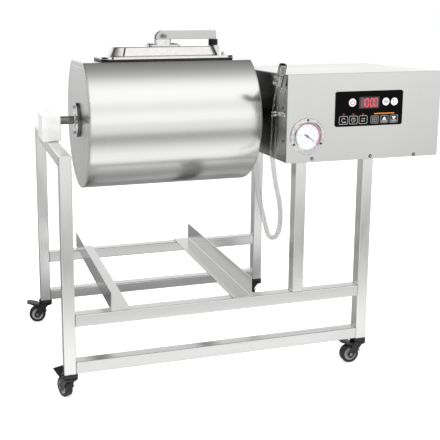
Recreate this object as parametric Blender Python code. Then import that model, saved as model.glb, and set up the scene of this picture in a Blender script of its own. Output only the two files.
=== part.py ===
"""Meat vacuum tumbler with a D-shaped drum on a square-tube trolley.

Run with blender --background --python part.py, or from the text editor. Metres, +Z up.
X runs along the drum's axis from its bearing to the drive housing, Y runs to the back.
Sizes are set below in the machine's own corner frame: X 0 at the left legs, Y 0 at the
front legs, Z 0 on the floor. The last step puts the origin under the machine's middle.
"""

from math import atan2, cos, pi, radians, sin

import bmesh
import bpy
from mathutils import Matrix, Vector

MM = 0.001

# Clearance that neighbouring pieces keep, and the clearance of a turning fit
GAP = 0.3 * MM
RUNNING = 0.4 * MM

# Trolley frame
TUBE = 25 * MM
TUBE_WALL = 1.5 * MM
FRAME_DEPTH = 448 * MM
MID_RAIL_HEIGHT = 161 * MM
BEAM_TOP = 514 * MM
BACK_LEG_INSET = 112 * MM
POST_INSET = 28 * MM
RIGHT_LEG_INSET = 187 * MM
CARRIER_REACH = 318 * MM

# Tray slides
ANGLE_LEG = 42 * MM
ANGLE_SHEET = 2 * MM
TRAY_LEFT = 98.5 * MM
TRAY_WIDTH = 308.5 * MM

# Bearing block on the left beam
BLOCK_LENGTH = 40 * MM
BLOCK_DEPTH = 90 * MM
BLOCK_ABOVE_AXIS = 16.9 * MM
BLOCK_OVERHANG = 10 * MM
AXIS_ABOVE_BEAM = 40.6 * MM
BORE_FLOOR = 6 * MM
BLOCK_EDGE = 1.5 * MM
SHAFT_END_PLAY = 1.5 * MM

# Drum
DRUM_GAP_LEFT = 45 * MM
DRUM_LENGTH = 381 * MM
DRUM_RADIUS = 153 * MM
DRUM_SHEET = 2 * MM
END_SHEET = 3 * MM
FLAT_DROP = 22.4 * MM
DRUM_STEPS = 64
SHAFT_RADIUS = 9 * MM
DRIVE_SHAFT_RADIUS = 12 * MM
DRIVE_SHAFT_LENGTH = 96 * MM
HUB_RADIUS = 39 * MM
HUB_PLATE = 7 * MM
HUB_NECK = 16 * MM
HUB_EDGE = 1.5 * MM
PADDLE_HEIGHT = 45 * MM
PADDLE_BASE = 18 * MM
PADDLE_TIP = 5 * MM
PADDLE_END_GAP = 24 * MM
PADDLE_EDGE = 1.2 * MM

# Lid and its opening in the drum's flat
LID_LENGTH = 308 * MM
LID_WIDTH = 131 * MM
LID_CORNER = 30 * MM
LID_SHEET = 2.5 * MM
LID_OFFSET = 8.5 * MM
GASKET = 3.4 * MM
GASKET_INSET = 1.5 * MM
GASKET_WIDTH = 16.5 * MM
OPENING_INSET = 26 * MM
PAN_END_RIM = 20 * MM
PAN_SIDE_RIM = 22 * MM
PAN_CORNER = 34 * MM
PAN_HEIGHT = 24.3 * MM
PAN_DRAFT = 5 * MM
PAN_ROUND = 5 * MM
LEVER_PIVOT_OFFSET = -1.5 * MM
LEVER_PLATE_LENGTH = 74 * MM
LEVER_PLATE_WIDTH = 44 * MM
LEVER_PLATE = 3 * MM
LEVER_PLATE_CORNER = 8 * MM
LUG_LENGTH = 39 * MM
LUG_HEIGHT = 11.5 * MM
LUG_WIDTH = 13 * MM
PIVOT_HEIGHT = 19 * MM
PIN_STANDS_OUT = 3 * MM
PIN_RADIUS = 3 * MM
KNUCKLE_RADIUS = 8 * MM
LEVER_FROM_PAN_END = 9.5 * MM
LEVER_DEPTH = 19.5 * MM
LEVER_SHEET = 2 * MM
LEVER_END_RADIUS = 17 * MM
LEVER_CORNER = 4 * MM
REST_RADIUS = 11.5 * MM
REST_NECK = 9.5 * MM
REST_FROM_END = 4.5 * MM
VALVE_RADIUS = 13 * MM
VALVE_DISC = 3 * MM
VALVE_STEM = 2.5 * MM
VALVE_STEM_LENGTH = 14 * MM
NIPPLE_RADIUS = 4.5 * MM
NIPPLE_HEIGHT = 9 * MM

# Drive housing
DRUM_GAP_RIGHT = 19 * MM
HOUSING_LENGTH = 363.5 * MM
HOUSING_BEHIND_AXIS = 77 * MM
HOUSING_ABOVE_AXIS = 107.4 * MM
HOUSING_BELOW_AXIS = 79.1 * MM
HOUSING_OVERHANG = 10.5 * MM
HOUSING_SHEET = 1.5 * MM
FLOOR_SHEET = 2 * MM
FRONT_RETURN = 20 * MM
FLOOR_FLANGE = 14 * MM
SHAFT_HOLE = 20 * MM
LOUVRE_LENGTH = 90 * MM
LOUVRE_SLOT = 3.4 * MM
LOUVRE_PITCH = 12 * MM
LOUVRES = 6

# Gauge in the housing's front
GAUGE_RIGHT = 47 * MM
GAUGE_UP = 56 * MM
GAUGE_FLANGE = 39 * MM
GAUGE_CASE = 31 * MM
GAUGE_WINDOW = 25.2 * MM
GAUGE_DEPTH = 30 * MM
GAUGE_BEZEL = 5 * MM
FLANGE_SHEET = 2 * MM
DIAL_SHEET = 1 * MM
GLASS_SHEET = 1.5 * MM
NEEDLE_LENGTH = 22 * MM
NEEDLE_TAIL = 8 * MM
NEEDLE_WIDTH = 2.4 * MM
NEEDLE_SHEET = 0.6 * MM
NEEDLE_REST = radians(-34)

# Control panel
PANEL_RIGHT = 110 * MM
PANEL_UP = 73 * MM
PANEL_LENGTH = 160 * MM
PANEL_HEIGHT = 75 * MM
PANEL_SHEET = 1.6 * MM
PANEL_CORNER = 5 * MM
BOX_MARGIN = 9 * MM
BOX_DEPTH = 18 * MM

# Machinery inside the housing
GEARBOX_LEFT = 21 * MM
GEARBOX_LENGTH = 64 * MM
GEARBOX_RADIUS = 45 * MM
WORM_HEIGHT = 40 * MM
WORM_RADIUS = 28 * MM
HUB_RING = 24 * MM
MOTOR_RADIUS = 37 * MM
MOTOR_LENGTH = 138 * MM
RING_STANDS_OUT = 6 * MM
MOTOR_NECK = 10 * MM
PUMP_FROM_RIGHT = 43.5 * MM
PUMP_BACK = 90 * MM
PUMP_LENGTH = 170 * MM
PUMP_WIDTH = 92 * MM
PUMP_RADIUS = 40 * MM
PUMP_HEAD = 60 * MM
PUMP_PLATE = 5 * MM
PUMP_LIFT = 12 * MM
PUMP_EDGE = 8 * MM
PUMP_SADDLE = 40 * MM
BARREL_RADIUS = 25 * MM
BARREL_HEIGHT = 52 * MM

# Mains inlet in the housing's back
INLET_FROM_RIGHT = 72.5 * MM
INLET_UP = 52 * MM
INLET_LENGTH = 27 * MM
INLET_HEIGHT = 20 * MM
INLET_DEPTH = 24 * MM
INLET_WALL = 2 * MM
INLET_MOUTH = 14 * MM
INLET_FLANGE_LENGTH = 50 * MM
INLET_FLANGE_HEIGHT = 25 * MM
INLET_FLANGE = 3 * MM
INLET_PIN_WIDTH = 2 * MM
INLET_PIN_HEIGHT = 4 * MM
INLET_PIN_PITCH = 7 * MM
INLET_PIN_LENGTH = 11 * MM

# Vacuum hose, its port, clip and coupler; the route starts from the housing's lower front left corner
HOSE_RADIUS = 6 * MM
HOSE_STEP = 26 * MM
HOSE_ROUTE_MM = [
    (-11, 20.1, 161.1), (-11, 29.5, 135.5), (-11, 37.5, 101.5), (-11, 42.5, 55.5), (-10, 46.5, 6.5),
    (-7, 35.5, -47.5), (-4, 19.5, -87.5), (-2, 18.5, -126.5), (-1, 29.5, -156.5), (1, 56.5, -177),
    (3, 86.5, -180.5), (5, 109.5, -166.5), (8, 139.5, -134.5), (11, 169.5, -101.5), (14, 192.5, -62.5),
    (15, 200.5, -30.5), (15, 200.5, -14.6),
]
PORT_RADIUS = 5 * MM
PORT_HEX = 8.5 * MM
PORT_DROP = 14 * MM
COUPLER_RADIUS = 8.6 * MM
COUPLER_NECK = 6.8 * MM
COUPLER_LENGTH = 50 * MM
BUTTON_RADIUS = 3.4 * MM
BUTTON_STANDS_OUT = 5 * MM
CLIP_SLACK = 1.4 * MM
CLIP_WIDTH = 8 * MM
CLIP_SHEET = 1.2 * MM

# Casters
WHEEL_RADIUS = 21 * MM
WHEEL_WIDTH = 16 * MM
WHEEL_CLEARANCE = 6.4 * MM
TYRE_ROUND = 2.5 * MM
HUB_RECESS = 2 * MM
TRAIL = 21 * MM
AXLE_RADIUS = 3 * MM
SEAT_RADIUS = 17 * MM
SEAT_HEIGHT = 7.5 * MM
SEAT_ROUND = 3 * MM
FORK_CROWN = 3.5 * MM
FORK_CHEEK = 2 * MM
CHEEK_FOOT = 8 * MM
AXLE_STANDS_OUT = 1.2 * MM
PLUG_HEIGHT = 18 * MM
CHEEK_GAP = 1 * MM
PEDAL_LENGTH = 28 * MM
PEDAL_WIDTH = 26 * MM
PEDAL_SHEET = 3.6 * MM
PEDAL_TONGUE = 8 * MM
PEDAL_RISE = 7 * MM
HEADINGS = {
    "front_left": radians(112),
    "front_right": radians(178),
    "back_left": radians(172),
    "back_right": radians(165),
}

# Sides of round pieces: fine ones show most
FINE = 32
MEDIUM = 24
COARSE = 16

# Sizes that follow from those above
CASTER_HEIGHT = 2 * WHEEL_RADIUS + WHEEL_CLEARANCE + FORK_CROWN + 2 * GAP + SEAT_HEIGHT
AXIS_Y = FRAME_DEPTH / 2
AXIS_Z = BEAM_TOP + AXIS_ABOVE_BEAM
BLOCK_HEIGHT = AXIS_ABOVE_BEAM + BLOCK_ABOVE_AXIS
BORE_DEPTH = BLOCK_LENGTH - BORE_FLOOR
FLAT_HEIGHT = DRUM_RADIUS - FLAT_DROP
DRUM_X = BLOCK_LENGTH - BLOCK_OVERHANG + DRUM_GAP_LEFT
HOUSING_X = DRUM_X + DRUM_LENGTH + DRUM_GAP_RIGHT
HOUSING_Y = -HOUSING_OVERHANG
HOUSING_DEPTH = HOUSING_OVERHANG + AXIS_Y + HOUSING_BEHIND_AXIS
HOUSING_FOOT = AXIS_Z - HOUSING_BELOW_AXIS
HOUSING_HEIGHT = HOUSING_BELOW_AXIS + HOUSING_ABOVE_AXIS
HOUSING_TOP = HOUSING_FOOT + HOUSING_HEIGHT
POST_X = HOUSING_X + POST_INSET
RIGHT_LEG_X = HOUSING_X + RIGHT_LEG_INSET
BACK_LEG_X = HOUSING_X + BACK_LEG_INSET
LID_X = DRUM_X + DRUM_LENGTH / 2 + LID_OFFSET
PAN_LENGTH = LID_LENGTH - 2 * PAN_END_RIM
PAN_WIDTH = LID_WIDTH - 2 * PAN_SIDE_RIM
LEVER_LENGTH = PAN_LENGTH / 2 - LEVER_PIVOT_OFFSET - LEVER_FROM_PAN_END
PAN_FLOOR = GASKET + 2 * GAP + LID_SHEET
PAN_TOP = PAN_FLOOR + PAN_HEIGHT
GAUGE_X = HOUSING_X + GAUGE_RIGHT
GAUGE_Z = HOUSING_FOOT + GAUGE_UP
HOSE_ROUTE = [Vector((HOUSING_X, HOUSING_Y, HOUSING_FOOT)) + Vector(point) * MM for point in HOSE_ROUTE_MM]
PORT_X, PORT_Y = HOSE_ROUTE[-1].x, HOSE_ROUTE[-1].y


def place(axis, u, v, w):
    """Point with w along the axis and u, v on the other two, in X, Y, Z order."""
    return Vector({"X": (w, u, v), "Y": (u, w, v), "Z": (u, v, w)}[axis])


def arc(u, v, radius, start, end, steps):
    """Points of an arc, both ends included."""
    turn = [start + (end - start) * i / steps for i in range(steps + 1)]
    return [(u + radius * cos(a), v + radius * sin(a)) for a in turn]


def circle(u, v, radius, steps):
    return arc(u, v, radius, 0, 2 * pi, steps)[:-1]


def rectangle(u0, v0, u1, v1):
    return [(u0, v0), (u1, v0), (u1, v1), (u0, v1)]


def rounded(u, v, length, width, corner, steps=5):
    """Rounded rectangle about u, v; every call with equal steps has as many points."""
    corner = min(corner, 0.95 * min(length, width) / 2)
    half_u, half_v = length / 2 - corner, width / 2 - corner
    points = []
    for index, (su, sv) in enumerate([(1, 1), (-1, 1), (-1, -1), (1, -1)]):
        start = index * pi / 2
        points += arc(u + su * half_u, v + sv * half_v, corner, start, start + pi / 2, steps)
    return points


def skin(rings, closed=False):
    """Solid through rings of equally many points, capped at its ends or joined end to end."""
    bm = bmesh.new()
    loops = [[bm.verts.new(point) for point in ring] for ring in rings]
    pairs = list(zip(loops, loops[1:]))
    if closed:
        pairs.append((loops[-1], loops[0]))
    for one, two in pairs:
        for i in range(len(one)):
            j = (i + 1) % len(one)
            bm.faces.new((one[i], one[j], two[j], two[i]))
    if not closed:
        bm.faces.new(loops[0])
        bm.faces.new(loops[-1])
    bmesh.ops.recalc_face_normals(bm, faces=bm.faces)
    return bm


def prism(outline, axis, low, high):
    """An outline drawn across the axis and extruded along it."""
    return skin([[place(axis, u, v, w) for u, v in outline] for w in (low, high)])


def box(low, high):
    return prism(rectangle(low[0], low[1], high[0], high[1]), "Z", low[2], high[2])


def rod(axis, u, v, radius, low, high, steps=FINE):
    return prism(circle(u, v, radius, steps), axis, low, high)


def turned(profile, axis, u, v, steps=MEDIUM):
    """Closed profile of (radius, along) points turned about the axis through u, v."""
    bm = bmesh.new()
    loops = []
    for radius, along in profile:
        points = circle(u, v, radius, steps) if radius else [(u, v)]
        loops.append([bm.verts.new(place(axis, p, q, along)) for p, q in points])
    for one, two in zip(loops, loops[1:] + loops[:1]):
        if len(one) == 1 and len(two) == 1:
            continue
        for i in range(steps):
            j = (i + 1) % steps
            corners = [one[i % len(one)], one[j % len(one)], two[j % len(two)], two[i % len(two)]]
            bm.faces.new(list(dict.fromkeys(corners)))
    bmesh.ops.recalc_face_normals(bm, faces=bm.faces)
    return bm


def mesh_of(bm, name="shape"):
    mesh = bpy.data.meshes.new(name)
    bm.to_mesh(mesh)
    bm.free()
    return mesh


def combine(base, add=(), cut=()):
    """Mesh of a base solid with others united with it and cut from it."""
    target = bpy.data.objects.new("base", mesh_of(base))
    bpy.context.scene.collection.objects.link(target)
    helpers = []
    for operation, solids in (("UNION", add), ("DIFFERENCE", cut)):
        for solid in solids:
            helper = bpy.data.objects.new("tool", mesh_of(solid))
            bpy.context.scene.collection.objects.link(helper)
            modifier = target.modifiers.new(operation, "BOOLEAN")
            modifier.operation = operation
            modifier.solver = "EXACT"
            modifier.object = helper
            helpers.append(helper)
    seen = target.evaluated_get(bpy.context.evaluated_depsgraph_get())
    mesh = bpy.data.meshes.new_from_object(seen)
    for used in helpers + [target]:
        bpy.data.objects.remove(used)
    return mesh


def material(name, red, green, blue, roughness, metallic=0.0, alpha=1.0):
    mat = bpy.data.materials.new(name)
    mat.use_nodes = True
    shader = mat.node_tree.nodes["Principled BSDF"]
    shader.inputs["Base Color"].default_value = (red, green, blue, 1)
    shader.inputs["Roughness"].default_value = roughness
    shader.inputs["Metallic"].default_value = metallic
    shader.inputs["Alpha"].default_value = alpha
    return mat


def make_materials():
    return {
        "satin_steel": material("satin_steel", 0.62, 0.62, 0.61, 0.34, 1.0),
        "polished_steel": material("polished_steel", 0.72, 0.72, 0.71, 0.16, 1.0),
        "frame_steel": material("frame_steel", 0.68, 0.68, 0.67, 0.42, 1.0),
        "zinc": material("zinc", 0.55, 0.56, 0.57, 0.4, 1.0),
        "cast_metal": material("cast_metal", 0.36, 0.38, 0.4, 0.55, 0.6),
        "white_plastic": material("white_plastic", 0.86, 0.86, 0.84, 0.45),
        "black_plastic": material("black_plastic", 0.02, 0.02, 0.02, 0.4),
        "black_rubber": material("black_rubber", 0.015, 0.015, 0.015, 0.7),
        "dial_white": material("dial_white", 0.9, 0.9, 0.88, 0.5),
        "clear_glass": material("clear_glass", 0.9, 0.95, 0.95, 0.05, 0.0, 0.3),
        "clear_hose": material("clear_hose", 0.75, 0.76, 0.74, 0.25, 0.0, 0.7),
    }


def empty(name, location, parent=None, turn=0.0):
    """Frame that carries moving pieces, on their joint's axis."""
    carrier = bpy.data.objects.new(name, None)
    carrier.location = location
    carrier.rotation_euler = (0, 0, turn)
    carrier.parent = parent
    bpy.context.scene.collection.objects.link(carrier)
    return carrier


def add(name, shape, mat, parent, location=(0, 0, 0), bevel=0.0, segments=2):
    """Object of one sub-part; its mesh is drawn in its own frame."""
    mesh = mesh_of(shape) if isinstance(shape, bmesh.types.BMesh) else shape
    mesh.name = name
    mesh.materials.clear()
    mesh.materials.append(mat)
    mesh.shade_smooth()
    mesh.set_sharp_from_angle(angle=radians(34))
    obj = bpy.data.objects.new(name, mesh)
    obj.location = location
    obj.parent = parent
    bpy.context.scene.collection.objects.link(obj)
    if bevel:
        modifier = obj.modifiers.new("edges", "BEVEL")
        modifier.width = bevel
        modifier.segments = segments
        modifier.limit_method = "ANGLE"
        modifier.angle_limit = radians(50)
    return obj


def square_tube(axis, u, v, low, high, slope_low=0.0, slope_high=0.0):
    """Open square tube; a slope mitres an end, as rise along the axis per rise of v."""
    rings = []
    for half, near, far in ((TUBE / 2, low, high), (TUBE / 2 - TUBE_WALL, high, low)):
        corners = rectangle(u - half, v - half, u + half, v + half)
        for end in (near, far):
            slope = slope_low if end == low else slope_high
            rings.append([place(axis, p, q, end + slope * (q - v)) for p, q in corners])
    return skin(rings, closed=True)


def build_frame(mats, root):
    """Inverted U at the left, three legs under the housing, two rails at the front and two behind."""
    steel = mats["frame_steel"]
    half = TUBE / 2
    mitre = GAP / 2
    front, back = half, FRAME_DEPTH - half
    leg_top = BEAM_TOP - half - mitre
    add("front_left_leg", square_tube("Z", half, front, CASTER_HEIGHT, leg_top, 0, -1), steel, root)
    add("back_left_leg", square_tube("Z", half, back, CASTER_HEIGHT, leg_top, 0, 1), steel, root)
    beam_low, beam_high = half - mitre, FRAME_DEPTH - half + mitre
    beam = square_tube("Y", half, BEAM_TOP - half, beam_low, beam_high, -1, 1)
    add("left_top_beam", beam, steel, root)

    stand = HOUSING_FOOT - GAP
    right_x = RIGHT_LEG_X + half
    add("front_right_leg", square_tube("Z", right_x, front, CASTER_HEIGHT, stand), steel, root)
    foot = MID_RAIL_HEIGHT + TUBE + GAP
    add("front_middle_post", square_tube("Z", POST_X + half, front, foot, stand), steel, root)
    back_x = BACK_LEG_X + half
    add("back_right_leg", square_tube("Z", back_x, back, CASTER_HEIGHT, stand), steel, root)
    reach = FRAME_DEPTH - TUBE - GAP
    carrier = square_tube("Y", back_x, stand - half, reach - CARRIER_REACH + TUBE, reach)
    add("housing_carrier_beam", carrier, steel, root)

    rails = (
        ("front_bottom_rail", front, CASTER_HEIGHT, RIGHT_LEG_X),
        ("front_middle_rail", front, MID_RAIL_HEIGHT, RIGHT_LEG_X),
        ("back_bottom_rail", back, CASTER_HEIGHT, BACK_LEG_X),
        ("back_middle_rail", back, MID_RAIL_HEIGHT, BACK_LEG_X),
    )
    for name, y, underside, end in rails:
        add(name, square_tube("X", y, underside + half, TUBE + GAP, end - GAP), steel, root)


def build_tray_slides(mats, root):
    """Two bent angles lying on the middle rails: a tray slides on their flat legs."""
    seat = MID_RAIL_HEIGHT + TUBE + GAP
    for name, wall, side in (
        ("left_tray_angle", TRAY_LEFT, 1),
        ("right_tray_angle", TRAY_LEFT + TRAY_WIDTH, -1),
    ):
        bend = 2 * ANGLE_SHEET
        upright = 1.5 * pi - side * pi / 2
        outer = arc(wall + side * bend, seat + bend, bend, upright, 1.5 * pi, 4)
        inner = arc(wall + side * bend, seat + bend, ANGLE_SHEET, 1.5 * pi, upright, 4)
        tip = wall + side * ANGLE_LEG
        outline = [(wall, seat + ANGLE_LEG)] + outer + [(tip, seat), (tip, seat + ANGLE_SHEET)]
        outline += inner + [(wall + side * ANGLE_SHEET, seat + ANGLE_LEG)]
        add(name, prism(outline, "Y", 0, FRAME_DEPTH), mats["satin_steel"], root)


def build_bearing_block(mats, root):
    """Plastic pillow block whose blind bore takes the drum's left shaft."""
    low = (-BLOCK_OVERHANG, AXIS_Y - BLOCK_DEPTH / 2, BEAM_TOP + GAP)
    high = (low[0] + BLOCK_LENGTH, AXIS_Y + BLOCK_DEPTH / 2, BEAM_TOP + BLOCK_HEIGHT)
    bore = rod("X", AXIS_Y, AXIS_Z, SHAFT_RADIUS + RUNNING, high[0] - BORE_DEPTH, high[0] + TUBE, MEDIUM)
    block = combine(box(low, high), cut=[bore])
    add("bearing_block", block, mats["white_plastic"], root, bevel=BLOCK_EDGE, segments=1)


def drum_outline(inset):
    """Section of the drum in Y, Z about its axis: a circle with a flat across its top."""
    radius = DRUM_RADIUS - inset
    flat = FLAT_HEIGHT - inset
    edge = atan2(flat, (radius ** 2 - flat ** 2) ** 0.5)
    return arc(0, 0, radius, pi - edge, 2 * pi + edge, DRUM_STEPS)


def build_drum(mats, drum):
    """Rolled D-shaped shell, two end sheets, hubs with their shafts, and three lifting paddles."""
    steel = mats["satin_steel"]
    low, high = DRUM_X, DRUM_X + DRUM_LENGTH
    shell_low, shell_high = low + END_SHEET + GAP, high - END_SHEET - GAP
    rings = []
    for inset, near, far in ((0, shell_low, shell_high), (DRUM_SHEET, shell_high, shell_low)):
        rings.append([place("X", y, z, near) for y, z in drum_outline(inset)])
        rings.append([place("X", y, z, far) for y, z in drum_outline(inset)])
    opening = rounded(LID_X, 0, LID_LENGTH - 2 * OPENING_INSET, LID_WIDTH - 2 * OPENING_INSET,
                      LID_CORNER - OPENING_INSET / 2)
    cutter = prism(opening, "Z", FLAT_HEIGHT - 4 * DRUM_SHEET, FLAT_HEIGHT + 4 * DRUM_SHEET)
    add("drum_shell", combine(skin(rings, closed=True), cut=[cutter]), steel, drum)

    for name, start in (("drum_left_end", low), ("drum_right_end", high - END_SHEET)):
        add(name, prism(drum_outline(0), "X", start, start + END_SHEET), steel, drum)

    tip = BLOCK_LENGTH - BLOCK_OVERHANG - BORE_DEPTH + SHAFT_END_PLAY
    left = hub_profile(low - GAP, -1, SHAFT_RADIUS, tip)
    add("left_hub", turned(left, "X", 0, 0, FINE), mats["polished_steel"], drum)
    right = hub_profile(high + GAP, 1, DRIVE_SHAFT_RADIUS, high + DRIVE_SHAFT_LENGTH)
    add("right_hub", turned(right, "X", 0, 0, FINE), mats["polished_steel"], drum)

    for index, angle in enumerate((-pi / 2, 0, pi)):
        start, end = shell_low + PADDLE_END_GAP, shell_high - PADDLE_END_GAP
        paddle = prism(paddle_outline(angle), "X", start, end)
        add(f"paddle_{index + 1}", paddle, steel, drum, bevel=PADDLE_EDGE, segments=1)


def hub_profile(face, side, shaft_radius, tip):
    """Flange against the drum's end, a short neck and the shaft, as radius and X."""
    plate = face + side * HUB_PLATE
    round_off = HUB_EDGE
    return [
        (0, face),
        (HUB_RADIUS, face),
        (HUB_RADIUS, plate - side * round_off),
        (HUB_RADIUS - round_off, plate),
        (HUB_NECK, plate),
        (HUB_NECK - round_off, plate + side * 2 * round_off),
        (shaft_radius, plate + side * 2 * round_off),
        (shaft_radius, tip - side * round_off),
        (shaft_radius - round_off, tip),
        (0, tip),
    ]


def paddle_outline(angle):
    """Lifting fin in Y, Z, standing in from the drum's wall at this angle."""
    wall = DRUM_RADIUS - DRUM_SHEET - GAP
    half = PADDLE_BASE / 2
    root = (wall ** 2 - half ** 2) ** 0.5
    section = [(root, -half), (wall, 0), (root, half)]
    section += [(wall - PADDLE_HEIGHT, PADDLE_TIP / 2), (wall - PADDLE_HEIGHT, -PADDLE_TIP / 2)]
    return [(r * cos(angle) - t * sin(angle), r * sin(angle) + t * cos(angle)) for r, t in section]


def lid_ring(inset, corner_inset, z, pan=False):
    """Ring of the lid's section at height z over the drum's flat, about the lid's middle."""
    length, width, corner = (PAN_LENGTH, PAN_WIDTH, PAN_CORNER) if pan else (LID_LENGTH, LID_WIDTH, LID_CORNER)
    outline = rounded(0, 0, length - 2 * inset, width - 2 * inset, corner - corner_inset)
    return [Vector((x, y, z)) for x, y in outline]


def build_lid(mats, lid):
    """Drawn lid: a rim with a raised pan, its gasket, and what stands on it."""
    sheet = LID_SHEET
    rim = GASKET + 2 * GAP
    rings = [
        lid_ring(PAN_DRAFT + PAN_ROUND + sheet, PAN_ROUND, PAN_TOP - sheet, True),
        lid_ring(PAN_DRAFT + sheet, sheet + 1 * MM, PAN_TOP - sheet - PAN_ROUND / 2, True),
        lid_ring(sheet, sheet, rim, True),
        lid_ring(0, 0, rim),
        lid_ring(0, 0, rim + sheet),
        lid_ring(0, 0, rim + sheet, True),
        lid_ring(PAN_DRAFT - 1 * MM, 1 * MM, PAN_TOP - PAN_ROUND, True),
        lid_ring(PAN_DRAFT + 1.2 * MM, 2 * MM, PAN_TOP - PAN_ROUND / 3, True),
        lid_ring(PAN_DRAFT + PAN_ROUND, PAN_ROUND, PAN_TOP, True),
    ]
    stem_hole = rod("Z", LEVER_PIVOT_OFFSET, 0, VALVE_STEM + RUNNING, 0, PAN_TOP + sheet, COARSE)
    add("lid", combine(skin(rings), cut=[stem_hole]), mats["polished_steel"], lid)

    seal = [
        lid_ring(GASKET_INSET, GASKET_INSET, GAP),
        lid_ring(GASKET_INSET, GASKET_INSET, GAP + GASKET),
        lid_ring(GASKET_INSET + GASKET_WIDTH, LID_CORNER / 2, GAP + GASKET),
        lid_ring(GASKET_INSET + GASKET_WIDTH, LID_CORNER / 2, GAP),
    ]
    add("lid_gasket", skin(seal, closed=True), mats["black_rubber"], lid)

    nipple_x = (PAN_LENGTH / 2 + LID_LENGTH / 2) / 2
    foot = PAN_FLOOR + GAP
    nipple = [
        (0, foot),
        (NIPPLE_RADIUS, foot),
        (NIPPLE_RADIUS, foot + NIPPLE_HEIGHT / 3),
        (NIPPLE_RADIUS * 0.6, foot + NIPPLE_HEIGHT / 2),
        (NIPPLE_RADIUS * 0.6, foot + NIPPLE_HEIGHT * 0.7),
        (NIPPLE_RADIUS * 0.8, foot + NIPPLE_HEIGHT * 0.8),
        (NIPPLE_RADIUS * 0.8, foot + NIPPLE_HEIGHT),
        (0, foot + NIPPLE_HEIGHT),
    ]
    add("vacuum_nipple", turned(nipple, "Z", nipple_x, 0, COARSE), mats["polished_steel"], lid)
    build_lever_base(mats, lid)
    build_lever_rest(mats, lid)


def build_lever_base(mats, lid):
    """Plate on the pan with the lug, its knuckle and the pin that the lever turns on."""
    x = LEVER_PIVOT_OFFSET
    foot = PAN_TOP + GAP
    plate_top = foot + LEVER_PLATE
    plate = prism(rounded(x, 0, LEVER_PLATE_LENGTH, LEVER_PLATE_WIDTH, LEVER_PLATE_CORNER), "Z", foot, plate_top)
    half = LUG_WIDTH / 2
    lug_top = plate_top + LUG_HEIGHT
    lug = prism(rounded(x, 0, LUG_LENGTH, LUG_WIDTH, half * 0.9), "Z", foot + GAP, lug_top)
    pivot_z = plate_top + PIVOT_HEIGHT
    neck = prism(rectangle(x - KNUCKLE_RADIUS, foot + GAP, x + KNUCKLE_RADIUS, pivot_z), "Y", -half, half)
    knuckle = rod("Y", x, pivot_z, KNUCKLE_RADIUS, -half, half, MEDIUM)
    reach = half + LEVER_SHEET + PIN_STANDS_OUT
    pin = rod("Y", x, pivot_z, PIN_RADIUS, -reach, reach, COARSE)
    stem_hole = rod("Z", x, 0, VALVE_STEM + RUNNING, PAN_TOP, PAN_TOP + VALVE_STEM_LENGTH + 2 * MM, COARSE)
    base = combine(plate, add=[lug, neck, knuckle, pin], cut=[stem_hole])
    add("lever_base", base, mats["polished_steel"], lid)


def build_lever_rest(mats, lid):
    """Ribbed rubber buffer that the lever's end lies on."""
    x = LEVER_PIVOT_OFFSET + LEVER_LENGTH - REST_FROM_END
    foot = PAN_TOP + GAP
    top = PAN_TOP + GAP + LEVER_PLATE + LUG_HEIGHT - GAP
    ribs = 3
    pitch = (top - foot) / ribs
    profile = [(0, foot)]
    for index in range(ribs):
        low = foot + index * pitch
        profile += [(REST_NECK, low), (REST_RADIUS, low + pitch * 0.25)]
        profile += [(REST_RADIUS, low + pitch * 0.7)]
    profile += [(REST_NECK, top), (0, top)]
    add("lever_rest", turned(profile, "Z", x, 0), mats["black_rubber"], lid)


def build_lever(mats, lever):
    """Channel-section lever, drawn about its pin: open below and open at its pin end."""
    bottom = LUG_HEIGHT - PIVOT_HEIGHT + GAP
    top = bottom + LEVER_DEPTH
    turn_z = top - LEVER_END_RADIUS
    start = pi + atan2(turn_z - bottom, LEVER_END_RADIUS)
    corner = LEVER_CORNER
    outline = arc(0, turn_z, LEVER_END_RADIUS, start, pi / 2, 10)
    outline += arc(LEVER_LENGTH - corner, top - corner, corner, pi / 2, 0, 3)
    outline += [(LEVER_LENGTH, bottom)]
    half = LUG_WIDTH / 2 + RUNNING + LEVER_SHEET
    inner = half - LEVER_SHEET
    far = LEVER_LENGTH - LEVER_SHEET
    slot = box((-2 * LEVER_END_RADIUS, -inner, -LEVER_DEPTH), (far, inner, top - LEVER_SHEET))
    mouth = box((-2 * LEVER_END_RADIUS, -inner, -LEVER_DEPTH), (0, inner, LEVER_DEPTH))
    hole = rod("Y", 0, 0, PIN_RADIUS + RUNNING, -LEVER_DEPTH, LEVER_DEPTH, COARSE)
    mesh = combine(prism(outline, "Y", -half, half), cut=[slot, mouth, hole])
    add("clamp_lever", mesh, mats["satin_steel"], lever)


def build_relief_valve(mats, valve):
    """Disc under the pan whose stem rises into the lug; the lever pushes it down to let air in."""
    top = PAN_TOP - LID_SHEET - GAP
    disc = [
        (0, top - VALVE_DISC),
        (VALVE_RADIUS - 1 * MM, top - VALVE_DISC),
        (VALVE_RADIUS, top - VALVE_DISC / 2),
        (VALVE_RADIUS, top),
        (VALVE_STEM, top),
        (VALVE_STEM, PAN_TOP + VALVE_STEM_LENGTH),
        (0, PAN_TOP + VALVE_STEM_LENGTH),
    ]
    add("relief_valve", turned(disc, "Z", LEVER_PIVOT_OFFSET, 0), mats["polished_steel"], valve)


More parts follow.
